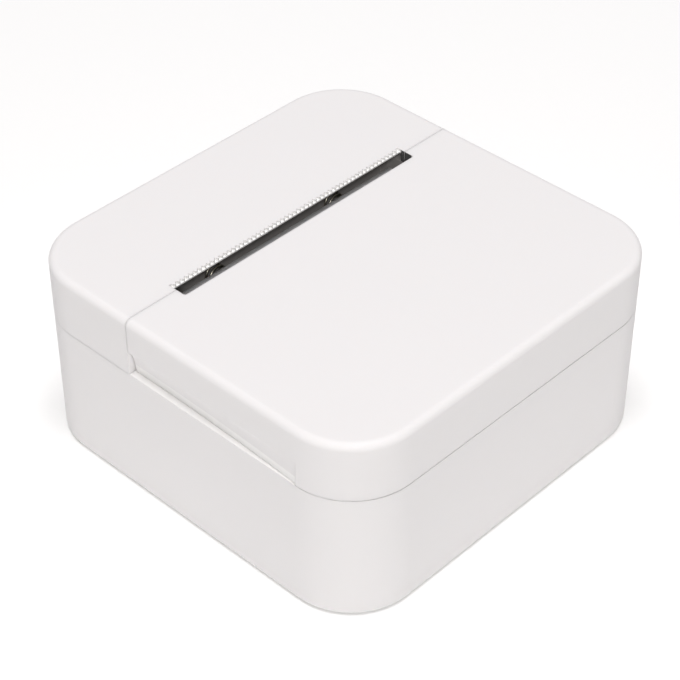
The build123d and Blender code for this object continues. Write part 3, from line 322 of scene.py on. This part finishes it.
# How far roughness swings about its mean
PLASTIC_SWING = 0.10
METAL_SWING = 0.16

# How bare metal darkens in its scratches and brightens where it wears
SCRATCH_DARKNESS = 0.82
WORN_BRIGHTNESS = 1.2
METAL_WEAR = 0.8


def new_material(name):
    """A material with its Principled shader; returns the material, its tree and the shader."""
    material = bpy.data.materials.new(name)
    material.use_nodes = True
    tree = material.node_tree
    return material, tree, tree.nodes["Principled BSDF"]


def bumped_normal(tree, height, distance, normal):
    """Feeds a height into a Bump node over a softened normal."""
    bump = add_node(tree, "ShaderNodeBump")
    bump.inputs["Distance"].default_value = distance
    tree.links.new(height, bump.inputs["Height"])
    tree.links.new(normal, bump.inputs["Normal"])
    return bump.outputs["Normal"]


def vary(tree, value, base, spread):
    """Turns a 0 to 1 value into one that swings about a base by half the spread."""
    return math_node(tree, "ADD", math_node(tree, "MULTIPLY", value, spread), base - spread / 2)


def paint_over(tree, shader, mask, colour):
    """Lays another colour over a finished surface where a mask says so."""
    below = shader.inputs["Base Color"].links[0].from_socket
    tree.links.new(mix_colour(tree, mask, below, colour), shader.inputs["Base Color"])


def moulded_plastic(name, colour, worn_colour, roughness, grain_depth, wear_radius=0.3 * MM,
                    wear=0.5, grain_scale=3500.0, dust=0.12, drift=0.965, texture=None):
    """Moulded plastic: grain, tone drift, softened edges, faint dust."""
    material, tree, shader = new_material(name)
    if texture:
        grain = use_group(tree, texture)
    else:
        grain = use_group(tree, MOULDED_GRAIN, Scale=grain_scale)
    edges = use_group(tree, EDGE_WEAR, Radius=wear_radius, Amount=wear)
    darker = tuple(channel * drift for channel in colour)
    surface = mix_colour(tree, grain.outputs["Tone"], darker, colour)
    surface = mix_colour(tree, edges.outputs["Mask"], surface, worn_colour)
    if dust:
        lying = use_group(tree, DUST, Amount=dust)
        surface = mix_colour(tree, lying.outputs["Mask"], surface, PAPER_DUST)
    tree.links.new(surface, shader.inputs["Base Color"])
    tree.links.new(vary(tree, grain.outputs["Height"], roughness, PLASTIC_SWING),
                   shader.inputs["Roughness"])
    tree.links.new(bumped_normal(tree, grain.outputs["Height"], grain_depth,
                                 edges.outputs["Normal"]), shader.inputs["Normal"])
    return material, tree, shader


def metal(name, colour, roughness, scratch_depth=0.002 * MM, stretch=0.02,
          wear_radius=0.15 * MM, scale=9000.0):
    """Bare metal with long fine scratches along X and bright worn edges."""
    material, tree, shader = new_material(name)
    brushing = use_group(tree, BRUSHING, Stretch=stretch, Scale=scale)
    edges = use_group(tree, EDGE_WEAR, Radius=wear_radius, Amount=METAL_WEAR)
    darker = tuple(channel * SCRATCH_DARKNESS for channel in colour)
    brighter = tuple(min(1.0, channel * WORN_BRIGHTNESS) for channel in colour)
    streaked = mix_colour(tree, brushing.outputs["Tone"], darker, colour)
    worn = mix_colour(tree, edges.outputs["Mask"], streaked, brighter)
    tree.links.new(worn, shader.inputs["Base Color"])
    tree.links.new(vary(tree, brushing.outputs["Tone"], roughness, METAL_SWING),
                   shader.inputs["Roughness"])
    tree.links.new(bumped_normal(tree, brushing.outputs["Height"], scratch_depth,
                                 edges.outputs["Normal"]), shader.inputs["Normal"])
    shader.inputs["Metallic"].default_value = 1.0
    return material, tree, shader


def glow_through(shader, weight, reach):
    """Light that spreads inside white plastic and softens its gaps."""
    shader.inputs["Subsurface Weight"].default_value = weight
    shader.inputs["Subsurface Radius"].default_value = GLOW_REACH
    shader.inputs["Subsurface Scale"].default_value = reach


def region_mask(tree, across, along, up):
    """Mask of a box from its limits in mm, the same on both sides of the middle."""
    limits = {}
    for axis, (low, high) in (("X", across), ("Y", along), ("Z", up)):
        limits["From_" + axis] = low * MM
        limits["To_" + axis] = high * MM
    return use_group(tree, REGION, **limits).outputs["Mask"]


def band_mask(tree, band, low, high):
    """Mask between two places in mm along the axis of a band group."""
    return use_group(tree, band, From=low * MM, To=high * MM).outputs["Mask"]


def case_white():
    """The case, the cover and the button, with painted light: three narrow places that lie in
    shade are painted a little lighter.
    """
    material, tree, shader = moulded_plastic(
        "Satin white ABS", (0.870, 0.853, 0.858), worn_colour=(0.89, 0.875, 0.88),
        roughness=0.58, grain_depth=0.004 * MM, wear_radius=0.25 * MM, wear=0.3, dust=0.0,
        drift=0.99)
    shader.inputs["Specular IOR Level"].default_value = 0.25
    glow_through(shader, weight=0.25, reach=1.4 * MM)
    # Lighter whites that paint light into places the lamps leave in shade
    light, lighter = (0.98, 0.97, 0.965), (0.99, 0.98, 0.975)
    # Painted light on the tear teeth, which lie in the shade of the paper slot
    tear_teeth_painted_light = region_mask(tree, across=(-1.0, SLOT_HALF + 0.7),
                             along=(STRIP_END_Y - 2.4, SLOT_REAR_Y + 0.25),
                             up=(CASE_TOP - 3.3, CASE_TOP - 0.1))
    # Painted light on the ledge under the finger scoop, which the cover's overhang shades
    scoop_ledge_painted_light = region_mask(tree, across=(CASE_HALF - 1.7, CASE_HALF - 0.08),
                               along=(COVER_FRONT_Y - 0.02, SCOOP_END_Y),
                               up=(SEAM_Z - 0.05, SEAM_Z + 1.7))
    # Painted light on the rounded bottom edge, which faces down into shade
    beyond = CASE_HALF + 0.5
    bottom_edge_painted_light = region_mask(tree, across=(-1.0, beyond), along=(-beyond, beyond),
                              up=(CASE_BOTTOM + 0.01, CASE_BOTTOM + BOTTOM_EDGE_RADIUS))
    for mask, colour in ((tear_teeth_painted_light, lighter), (scoop_ledge_painted_light, light), (bottom_edge_painted_light, light)):
        paint_over(tree, shader, mask, colour)
    return material


def inner_white():
    """The roll bay."""
    material, _, shader = moulded_plastic(
        "Inner white ABS", (0.80, 0.79, 0.785), worn_colour=(0.84, 0.83, 0.825),
        roughness=0.5, grain_depth=0.006 * MM, dust=0.06)
    glow_through(shader, weight=0.2, reach=1.2 * MM)
    return material


def mechanism_black():
    """The dark mouldings that carry the roller, the head and the gears."""
    return moulded_plastic(
        "Mechanism grey", (0.47, 0.448, 0.442), worn_colour=(0.53, 0.51, 0.50),
        roughness=0.5, grain_depth=0.012 * MM, wear=0.6, grain_scale=1500.0, dust=0.06,
        drift=0.72)[0]


def roller_rubber():
    """The roller's sleeve, ground round its axis."""
    return moulded_plastic(
        "Ground roller rubber", (0.026, 0.026, 0.027), worn_colour=(0.05, 0.05, 0.05),
        roughness=0.62, grain_depth=0.01 * MM, wear=0.3, dust=0.08, drift=0.8,
        texture=TURNED_RINGS)[0]


def foot_rubber():
    """The feet."""
    return moulded_plastic(
        "Foot rubber", (0.20, 0.20, 0.20), worn_colour=(0.26, 0.26, 0.26), roughness=0.8,
        grain_depth=0.02 * MM, wear=0.3, dust=0.2)[0]


def head_aluminium():
    """The print head's heat-sink plate."""
    return metal("Milled aluminium", (0.82, 0.82, 0.83), roughness=0.60)[0]


def head_ceramic():
    """The print head's strip, with its printed leads, common bar and dark heater line."""
    material, tree, shader = moulded_plastic(
        "Glazed ceramic", (0.50, 0.46, 0.40), worn_colour=(0.56, 0.53, 0.48), roughness=0.16,
        grain_depth=0.002 * MM, wear=0.2, dust=0.03)
    stripes = use_group(tree, STRIPES, Pitch=0.4 * MM, Share=0.55)
    leads = math_node(tree, "MULTIPLY", stripes.outputs["Mask"],
                      band_mask(tree, BAND_Z, HEAD_STRIP_LOW + 1.1, HEAD_STRIP_LOW + 3.5))
    common = band_mask(tree, BAND_Z, HEAD_STRIP_LOW + 5.0, HEAD_STRIP_LOW + 6.5)
    heater = band_mask(tree, BAND_Z, HEAD_STRIP_LOW + 3.6, HEAD_STRIP_LOW + 3.9)
    paint_over(tree, shader, leads, GILT)
    paint_over(tree, shader, common, GILT)
    paint_over(tree, shader, heater, (0.05, 0.03, 0.02))
    shader.inputs["Coat Weight"].default_value = 0.4
    return material


def steel():
    """Shafts, pins, screws, the motor's can and the socket's shell."""
    return metal("Bright steel", (0.62, 0.62, 0.63), roughness=0.26)[0]


def spring_steel():
    """The two springs behind the head."""
    return metal("Spring wire", (0.60, 0.57, 0.48), roughness=0.3, stretch=0.3)[0]


def gear_plastic():
    """The roller's gear and the double idler."""
    material, _, shader = moulded_plastic(
        "Acetal gear", (0.74, 0.73, 0.68), worn_colour=(0.82, 0.81, 0.78), roughness=0.34,
        grain_depth=0.003 * MM, wear=0.3, dust=0.04)
    glow_through(shader, weight=0.15, reach=1.2 * MM)
    return material


def brass():
    """The motor's pinion and the socket's contacts."""
    return metal("Hobbed brass", (0.72, 0.53, 0.25), roughness=0.28)[0]


def board_green():
    """The circuit board, with tracks under its solder mask and bare vias."""
    material, tree, shader = moulded_plastic(
        "Solder mask", (0.010, 0.10, 0.04), worn_colour=(0.10, 0.18, 0.08), roughness=0.28,
        grain_depth=0.004 * MM, wear=0.5, dust=0.05)
    copper = use_group(tree, BOARD_TRACKS)
    paint_over(tree, shader, copper.outputs["Tracks"], (0.014, 0.17, 0.06))
    paint_over(tree, shader, copper.outputs["Vias"], (0.58, 0.44, 0.20))
    shader.inputs["Coat Weight"].default_value = 0.3
    return material


def component_black():
    """Chips, the switch, the battery's leads and the socket's tongue."""
    return moulded_plastic(
        "Moulded component", (0.025, 0.025, 0.027), worn_colour=(0.08, 0.08, 0.08),
        roughness=0.45, grain_depth=0.006 * MM, dust=0.04)[0]


def flex_amber():
    """The two flat cables, with their conductors showing through the film."""
    material, tree, shader = moulded_plastic(
        "Polyimide film", (0.46, 0.20, 0.03), worn_colour=(0.55, 0.30, 0.08), roughness=0.25,
        grain_depth=0.002 * MM, wear=0.3, dust=0.02)
    conductors = use_group(tree, STRIPES, Pitch=0.5 * MM, Share=0.6)
    paint_over(tree, shader, conductors.outputs["Mask"], (0.52, 0.27, 0.07))
    shader.inputs["Coat Weight"].default_value = 0.3
    return material


def light_clear():
    """The status light's pipe and the paper sensor's windows."""
    material, tree, shader = new_material("Light pipe")
    grain = use_group(tree, MOULDED_GRAIN, Scale=2500.0)
    tree.links.new(vary(tree, grain.outputs["Height"], base=0.18, spread=0.08),
                   shader.inputs["Roughness"])
    shader.inputs["Base Color"].default_value = (0.90, 0.93, 0.90, 1.0)
    shader.inputs["Transmission Weight"].default_value = 0.55
    shader.inputs["IOR"].default_value = 1.49
    return material


def foam():
    """The battery's pad, and the dark sheets of painted shade at the ends of the paper slot."""
    return moulded_plastic(
        "Closed-cell foam and painted slot shade", (0.09, 0.09, 0.09), worn_colour=(0.12, 0.12, 0.12), roughness=0.9,
        grain_depth=0.12 * MM, wear=0.1, grain_scale=1400.0, dust=0.0)[0]


def battery_wrap():
    """The battery's foil wrap, with amber tape over the end where its leads come out."""
    material, tree, shader = metal(
        "Laminated foil wrap", (0.55, 0.57, 0.60), roughness=0.34, scratch_depth=0.01 * MM,
        stretch=0.6, scale=900.0)
    tape = band_mask(tree, BAND_X, low=-30.0, high=-14.0)
    paint_over(tree, shader, tape, (0.50, 0.24, 0.04))
    return material


MATERIALS = {maker.__name__: maker() for maker in (
    case_white, inner_white, mechanism_black, roller_rubber, foot_rubber, head_aluminium,
    head_ceramic, steel, spring_steel, gear_plastic, brass, board_green, component_black,
    flex_amber, light_clear, foam, battery_wrap)}


def dress_node(node):
    """Gives a CAD node the finish of its slot; its mesh and place stay as packed."""
    piece = frame["nodes"][node]
    for material_slot in piece.material_slots:
        material_slot.material = MATERIALS[SLOT_OF[node]]


for node_name in frame["nodes"]:
    dress_node(node_name)


# Fine pieces that the CAD leaves to the picture

def place_along(axis, along, a, b):
    """A point from its place along an axis and its two places across that axis."""
    return {"X": (along, a, b), "Y": (a, along, b), "Z": (a, b, along)}[axis]


def prism(name, profile, start, end, axis, rides, slot):
    """A closed profile, given in mm across an axis, drawn out along that axis."""
    count = len(profile)
    points = [[value * MM for value in place_along(axis, along, a, b)]
              for along in (start, end) for a, b in profile]
    ends = [tuple(range(count))[::-1], tuple(range(count, 2 * count))]
    sides = [(k, (k + 1) % count, count + (k + 1) % count, count + k) for k in range(count)]
    mesh = bpy.data.meshes.new(name)
    mesh.from_pydata(points, [], ends + sides)
    solid = bmesh.new()
    solid.from_mesh(mesh)
    bmesh.ops.recalc_face_normals(solid, faces=solid.faces)
    solid.to_mesh(mesh)
    solid.free()
    piece = bpy.data.objects.new(name, mesh)
    bpy.context.scene.collection.objects.link(piece)
    mesh.materials.append(MATERIALS[slot])
    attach(piece, rides)
    return piece


def on_side(profile, side):
    """A profile drawn for the right side, turned to a side of the printer: -1 or 1."""
    return [(side * x, other) for x, other in profile]


def arc_points(centre, radius, start, end, steps):
    """Points of an arc in mm between two angles in degrees."""
    angles = [math.radians(start + (end - start) * k / steps) for k in range(steps + 1)]
    return [(centre[0] + radius * math.cos(angle), centre[1] + radius * math.sin(angle))
            for angle in angles]


def make_strip_lips():
    """Lips on the strip's end fill most of the seam to the cover, a little below its faces."""
    sink = 0.02
    slot_x, wall_x = SLOT_HALF + 0.05, CASE_HALF - 1.8
    roof_z, foot_z = CEILING_Z + 0.1, CASE_TOP - 3.5
    edge_centre = (CASE_HALF - TOP_EDGE_RADIUS, CASE_TOP - TOP_EDGE_RADIUS)
    outline = [(slot_x, roof_z), (slot_x, CASE_TOP - sink)]
    outline += arc_points(edge_centre, TOP_EDGE_RADIUS - sink, 90, 0, 12)
    outline += [(CASE_HALF - sink, foot_z), (wall_x, foot_z), (wall_x, roof_z)]
    for label, side in SIDES:
        prism("strip_lip_" + label, on_side(outline, side), STRIP_END_Y - 0.6,
              COVER_FRONT_Y - 0.01, "Y", "base", "case_white")


def make_slot_end_shade_sheets():
    """Thin dark sheets at both ends of the paper slot, on the strip and on the cover: painted
    shade in the foam's finish.
    """
    wall_x, face_x = SLOT_HALF - 0.015, SLOT_HALF - 0.1
    low_z, high_z = CASE_TOP - 2.5, CASE_TOP - 0.06
    outline = [(wall_x, low_z), (wall_x, high_z), (face_x, high_z), (face_x, low_z)]
    # Painted shade: dark sheets stand where the slot's end walls are in shadow
    for label, side in SIDES:
        for rides, start, end in (
                ("base", STRIP_END_Y - 0.8, STRIP_END_Y - 0.03),
                ("cover", COVER_FRONT_Y + 0.03, SLOT_REAR_Y - SLOT_CORNER_RADIUS)):
            prism(f"slot_lining_{rides}_{label}", on_side(outline, side), start, end, "Y",
                  rides, "foam")


# Places along Y, and the finger scoop's depth there at the cover's lower edge
SCOOP_STATIONS = ((COVER_FRONT_Y - 1.0, 1.475), (5.0, 1.298), (SCOOP_END_Y, 0.246))


def scoop_depth(y):
    """Depth of the scoop at the cover's lower edge: the parabola through its stations."""
    (y0, depth0), (y1, depth1), (y2, depth2) = SCOOP_STATIONS
    slope = (depth1 - depth0) / (y1 - y0)
    bend = ((depth2 - depth1) / (y2 - y1) - slope) / (y2 - y0)
    return depth0 + slope * (y - y0) + bend * (y - y0) * (y - y1)


def cover_rim():
    """The cover's lower edge from above: along the finger scoop, then into the rear corner."""
    start, end, steps = COVER_FRONT_Y + 0.38, SCOOP_END_Y - 0.05, 7
    places = [start + (end - start) * k / steps for k in range(steps + 1)]
    scoop = [(CASE_HALF - scoop_depth(y), y) for y in places]
    centre = CASE_HALF - CORNER_RADIUS
    return scoop + arc_points((centre, centre), CORNER_RADIUS, 0, 30, 6)


def make_seam_beads():
    """A bead on the base's rim stands in the seam under the cover, just behind its face."""
    sink, width = 0.035, 0.5
    outer = [(x - sink, y) for x, y in cover_rim()]
    inner = [(x - width, y) for x, y in reversed(cover_rim())]
    for label, side in SIDES:
        prism("seam_bead_" + label, on_side(outer + inner, side), SEAM_Z - 0.6,
              SEAM_Z + 0.075, "Z", "base", "case_white")


def build_rows():
    """Geometry nodes that repeat a template along one step and then along another."""
    tree = bpy.data.node_groups.new("Rows of copies", "GeometryNodeTree")
    tree.interface.new_socket(name="Geometry", in_out="OUTPUT",
                              socket_type="NodeSocketGeometry")
    for label, kind in (("Template", "Object"), ("Start", "Vector"), ("Count Along", "Int"),
                        ("Step Along", "Vector"), ("Count Across", "Int"),
                        ("Step Across", "Vector"), ("Finish", "Material")):
        tree.interface.new_socket(name=label, in_out="INPUT", socket_type="NodeSocket" + kind)
    start, end = tree.nodes.new("NodeGroupInput"), tree.nodes.new("NodeGroupOutput")
    template = tree.nodes.new("GeometryNodeObjectInfo")
    tree.links.new(start.outputs["Template"], template.inputs["Object"])
    shape = template.outputs["Geometry"]
    for label in ("Along", "Across"):
        line = tree.nodes.new("GeometryNodeMeshLine")
        tree.links.new(start.outputs["Count " + label], line.inputs["Count"])
        tree.links.new(start.outputs["Step " + label], line.inputs["Offset"])
        if label == "Across":
            tree.links.new(start.outputs["Start"], line.inputs["Start Location"])
        copies = tree.nodes.new("GeometryNodeInstanceOnPoints")
        tree.links.new(line.outputs["Mesh"], copies.inputs["Points"])
        tree.links.new(shape, copies.inputs["Instance"])
        shape = copies.outputs["Instances"]
    real = tree.nodes.new("GeometryNodeRealizeInstances")
    finish = tree.nodes.new("GeometryNodeSetMaterial")
    tree.links.new(shape, real.inputs["Geometry"])
    tree.links.new(real.outputs["Geometry"], finish.inputs["Geometry"])
    tree.links.new(start.outputs["Finish"], finish.inputs["Material"])
    tree.links.new(finish.outputs["Geometry"], end.inputs["Geometry"])
    return tree


ROWS = build_rows()


def chamfered_block(x, y, z, cut):
    """A block of a size in mm round the origin, with its edges cut."""
    shape = bmesh.new()
    bmesh.ops.create_cube(shape, size=1.0)
    bmesh.ops.scale(shape, vec=(x * MM, y * MM, z * MM), verts=shape.verts)
    bmesh.ops.bevel(shape, geom=shape.edges[:], offset=cut * MM, segments=1, affect="EDGES")
    return shape


def turned_shape(profile, steps=24):
    """A profile of radius and height in mm, turned round the Z axis."""
    shape = bmesh.new()
    points = [shape.verts.new((radius * MM, 0, height * MM)) for radius, height in profile]
    edges = [shape.edges.new(pair) for pair in zip(points, points[1:])]
    bmesh.ops.spin(shape, geom=points + edges, cent=(0, 0, 0), axis=(0, 0, 1),
                   angle=math.tau, steps=steps)
    bmesh.ops.remove_doubles(shape, verts=shape.verts, dist=1e-7)
    bmesh.ops.recalc_face_normals(shape, faces=shape.faces)
    return shape


def place_rows(name, shape, start, along, across, rides, slot):
    """Copies of a shape in rows: each direction is a count and a step in mm."""
    template_mesh = bpy.data.meshes.new(name + "_template")
    shape.to_mesh(template_mesh)
    shape.free()
    template = bpy.data.objects.new(name + "_template", template_mesh)
    grower = bpy.data.objects.new(name + "_rows", bpy.data.meshes.new(name + "_rows"))
    for made in (template, grower):
        bpy.context.scene.collection.objects.link(made)
    modifier = grower.modifiers.new("Rows", "NODES")
    modifier.node_group = ROWS
    values = {"Template": template, "Start": [value * MM for value in start],
              "Count Along": along[0], "Step Along": [value * MM for value in along[1]],
              "Count Across": across[0], "Step Across": [value * MM for value in across[1]],
              "Finish": MATERIALS[slot]}
    for item in ROWS.interface.items_tree:
        if item.in_out == "INPUT":
            modifier[item.identifier] = values[item.name]
    grower.update_tag()
    bpy.context.view_layer.update()
    evaluated = grower.evaluated_get(bpy.context.evaluated_depsgraph_get())
    mesh = bpy.data.meshes.new_from_object(evaluated)
    mesh.name = name
    bpy.data.objects.remove(grower)
    bpy.data.objects.remove(template)
    piece = bpy.data.objects.new(name, mesh)
    bpy.context.scene.collection.objects.link(piece)
    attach(piece, rides)
    return piece


ONE = (1, (0, 0, 0))


def make_socket_parts():
    """The charging socket's dark tongue with its contacts on both faces."""
    low, high = edges_of("usb_connector")
    front, back = low[0], -36.0
    middle_y, middle_z = (low[1] + high[1]) / 2, (low[2] + high[2]) / 2
    half_width, half_height, cut = 3.33, 0.38, 0.03
    corner = [(half_width, half_height - cut), (half_width - cut, half_height)]
    tongue = corner + [(-a, b) for a, b in reversed(corner)]
    tongue += [(-a, -b) for a, b in tongue]
    for name, start, wider, thicker in (("socket_tongue", front - 0.04, 1.0, 1.0),
                                        ("socket_tongue_root", front + 3.5, 1.02, 1.5)):
        prism(name, [(middle_y + a * wider, middle_z + b * thicker) for a, b in tongue],
              start, back, "X", "base", "component_black")
    contacts, pitch = 12, 0.5
    place_rows("socket_contacts", chamfered_block(3.0, 0.26, 0.04, 0.01),
               (front + 1.8, middle_y - pitch * (contacts - 1) / 2, middle_z - half_height),
               (contacts, (0, pitch, 0)), (2, (0, 0, 2 * half_height)), "base", "brass")


def make_chip_pins():
    """Rows of pins along the four sides of the controller chip."""
    chip_x, chip_y, reach = -28.0, -20.5, 3.62
    pins, pitch = 12, 0.5
    first = -pitch * (pins - 1) / 2
    pin_z = BOARD_TOP + 0.11
    place_rows("chip_pins_x", chamfered_block(0.4, 0.24, 0.18, 0.03),
               (chip_x - reach, chip_y + first, pin_z), (pins, (0, pitch, 0)),
               (2, (2 * reach, 0, 0)), "base", "steel")
    place_rows("chip_pins_y", chamfered_block(0.24, 0.4, 0.18, 0.03),
               (chip_x + first, chip_y - reach, pin_z), (pins, (pitch, 0, 0)),
               (2, (0, 2 * reach, 0)), "base", "steel")


def make_small_parts():
    """Resistors and capacitors on the board, with metal ends."""
    part_z, spacing, end_shift = BOARD_TOP + 0.26, 1.7, 0.69
    for label, start, along, across in (
            ("side", (-33.1, -25.6, part_z), (5, (0, spacing, 0)), ONE),
            ("rear", (-33.2, -4.9, part_z), (5, (spacing, 0, 0)), (2, (0, 2.2, 0)))):
        place_rows("small_parts_" + label, chamfered_block(0.8, 1.2, 0.5, 0.04), start, along,
                   across, "base", "component_black")
        for end_label, shift in (("a", -end_shift), ("b", end_shift)):
            place_rows(f"small_part_ends_{label}_{end_label}",
                       chamfered_block(0.8, 0.22, 0.52, 0.03),
                       (start[0], start[1] + shift, start[2]), along, across, "base", "steel")


def make_ejector_rings():
    """Shallow rings that the mould's ejector pins leave inside the cover's roof."""
    inner, outer, height, bevel, root = 1.9, 2.3, -0.10, 0.1, 0.03
    ring = [(inner, root), (inner, height / 2), (inner + bevel, height),
            (outer - bevel, height), (outer, height / 2), (outer, root), (inner, root)]
    columns, rows, step_x, step_y, first_y = 4, 2, 16, 13, 12.5
    first_x = -step_x * (columns - 1) / 2
    place_rows("ejector_rings", turned_shape(ring), (first_x, first_y, CEILING_Z),
               (columns, (step_x, 0, 0)), (rows, (0, step_y, 0)), "cover", "case_white")


def make_cover_ribs():
    """A stiffening rib under the cover's roof along each side."""
    roof_z, shoulder_z, low_z = CEILING_Z + 0.1, CEILING_Z - 0.6, CEILING_Z - 1.2
    front_y, rear_y = -6.0, 31.0
    inner_x, outer_x = 36.4, 37.3
    rib = [(front_y, roof_z), (front_y, shoulder_z), (front_y + 1.2, low_z),
           (rear_y - 2.0, low_z), (rear_y, shoulder_z), (rear_y, roof_z)]
    for label, side in SIDES:
        prism("cover_rib_" + label, rib, side * inner_x, side * outer_x, "X", "cover",
              "case_white")


def make_sensor_windows():
    """The paper sensor's two small domes."""
    low, high = edges_of("paper_sensor")
    spacing = 1.8
    dome = [(0.0, 0.22), (0.35, 0.17), (0.55, 0.05), (0.6, -0.05), (0.0, -0.05)]
    place_rows("sensor_windows", turned_shape(dome),
               ((low[0] + high[0] - spacing) / 2, (low[1] + high[1]) / 2, high[2]),
               (2, (spacing, 0, 0)), ONE, "base", "light_clear")


make_strip_lips()
make_slot_end_shade_sheets()
make_seam_beads()
make_socket_parts()
make_chip_pins()
make_small_parts()
make_ejector_rings()
make_cover_ribs()
make_sensor_windows()


# Floor, light and camera

def make_floor():
    """A white light table: it glows a little, so it stays white up to the object."""
    mesh = bpy.data.meshes.new("floor")
    half = 3.0
    mesh.from_pydata([(-half, -half, 0), (half, -half, 0), (half, half, 0), (-half, half, 0)],
                     [], [(0, 1, 2, 3)])
    floor = bpy.data.objects.new("floor", mesh)
    bpy.context.scene.collection.objects.link(floor)
    material, _, shader = new_material("Pale floor")
    shader.inputs["Base Color"].default_value = (0.94, 0.94, 0.94, 1.0)
    shader.inputs["Roughness"].default_value = 0.9
    shader.inputs["Specular IOR Level"].default_value = 0.1
    shader.inputs["Emission Color"].default_value = (1.0, 1.0, 1.0, 1.0)
    shader.inputs["Emission Strength"].default_value = 0.07
    mesh.materials.append(material)


def make_world():
    """A faint warm light from all round, as inside a light tent."""
    world = bpy.data.worlds.new("Studio")
    bpy.context.scene.world = world
    world.use_nodes = True
    background = world.node_tree.nodes["Background"]
    background.inputs["Color"].default_value = (1.0, 0.97, 0.94, 1.0)
    background.inputs["Strength"].default_value = 0.13


def make_light(name, direction, distance, size, power, colour):
    """A square soft box that looks at the object from a direction."""
    data = bpy.data.lights.new(name, "AREA")
    data.size = size
    data.energy = power
    data.color = colour
    lamp = bpy.data.objects.new(name, data)
    towards = Vector(direction).normalized()
    lamp.location = towards * distance
    lamp.rotation_euler = towards.to_track_quat("Z", "Y").to_euler()
    bpy.context.scene.collection.objects.link(lamp)


# The photograph's camera: bearing from +X towards +Y, height angle, distance and lens
CAMERA_BEARING = math.radians(43.64)
CAMERA_HEIGHT_ANGLE = math.radians(39.09)
CAMERA_DISTANCE = 380.7 * MM
CAMERA_TARGET = Vector((0, 0, 20.03 * MM))
CAMERA_SENSOR = 36.0
IMAGE_SIZE = 680.0
FOCAL_PIXELS = 2032.4
CENTRE_PIXEL = (345.87, 329.69)


def make_camera():
    """A camera at the photograph's viewing angle."""
    data = bpy.data.cameras.new("Camera")
    data.sensor_width = CAMERA_SENSOR
    data.lens = CAMERA_SENSOR * FOCAL_PIXELS / IMAGE_SIZE
    data.shift_x = (IMAGE_SIZE / 2 - CENTRE_PIXEL[0]) / IMAGE_SIZE
    data.shift_y = (CENTRE_PIXEL[1] - IMAGE_SIZE / 2) / IMAGE_SIZE
    data.clip_start = 0.01
    data.clip_end = 20.0
    camera = bpy.data.objects.new("Camera", data)
    level = math.cos(CAMERA_HEIGHT_ANGLE)
    back = Vector((level * math.cos(CAMERA_BEARING), level * math.sin(CAMERA_BEARING),
                   math.sin(CAMERA_HEIGHT_ANGLE)))
    camera.location = CAMERA_TARGET + back * CAMERA_DISTANCE
    camera.rotation_mode = "QUATERNION"
    camera.rotation_quaternion = (-back).to_track_quat("-Z", "Y")
    bpy.context.scene.collection.objects.link(camera)
    bpy.context.scene.camera = camera


bpy.context.scene.view_settings.view_transform = "Standard"
make_floor()
make_world()
make_light("Overhead", direction=(0.05, 0.05, 1.0), distance=2.4, size=1.2, power=41.5,
           colour=(1.0, 0.99, 1.0))
make_light("Fill", direction=(0.72, 0.69, 0.83), distance=1.6, size=0.22, power=8.7,
           colour=(1.0, 0.985, 0.955))
make_camera()
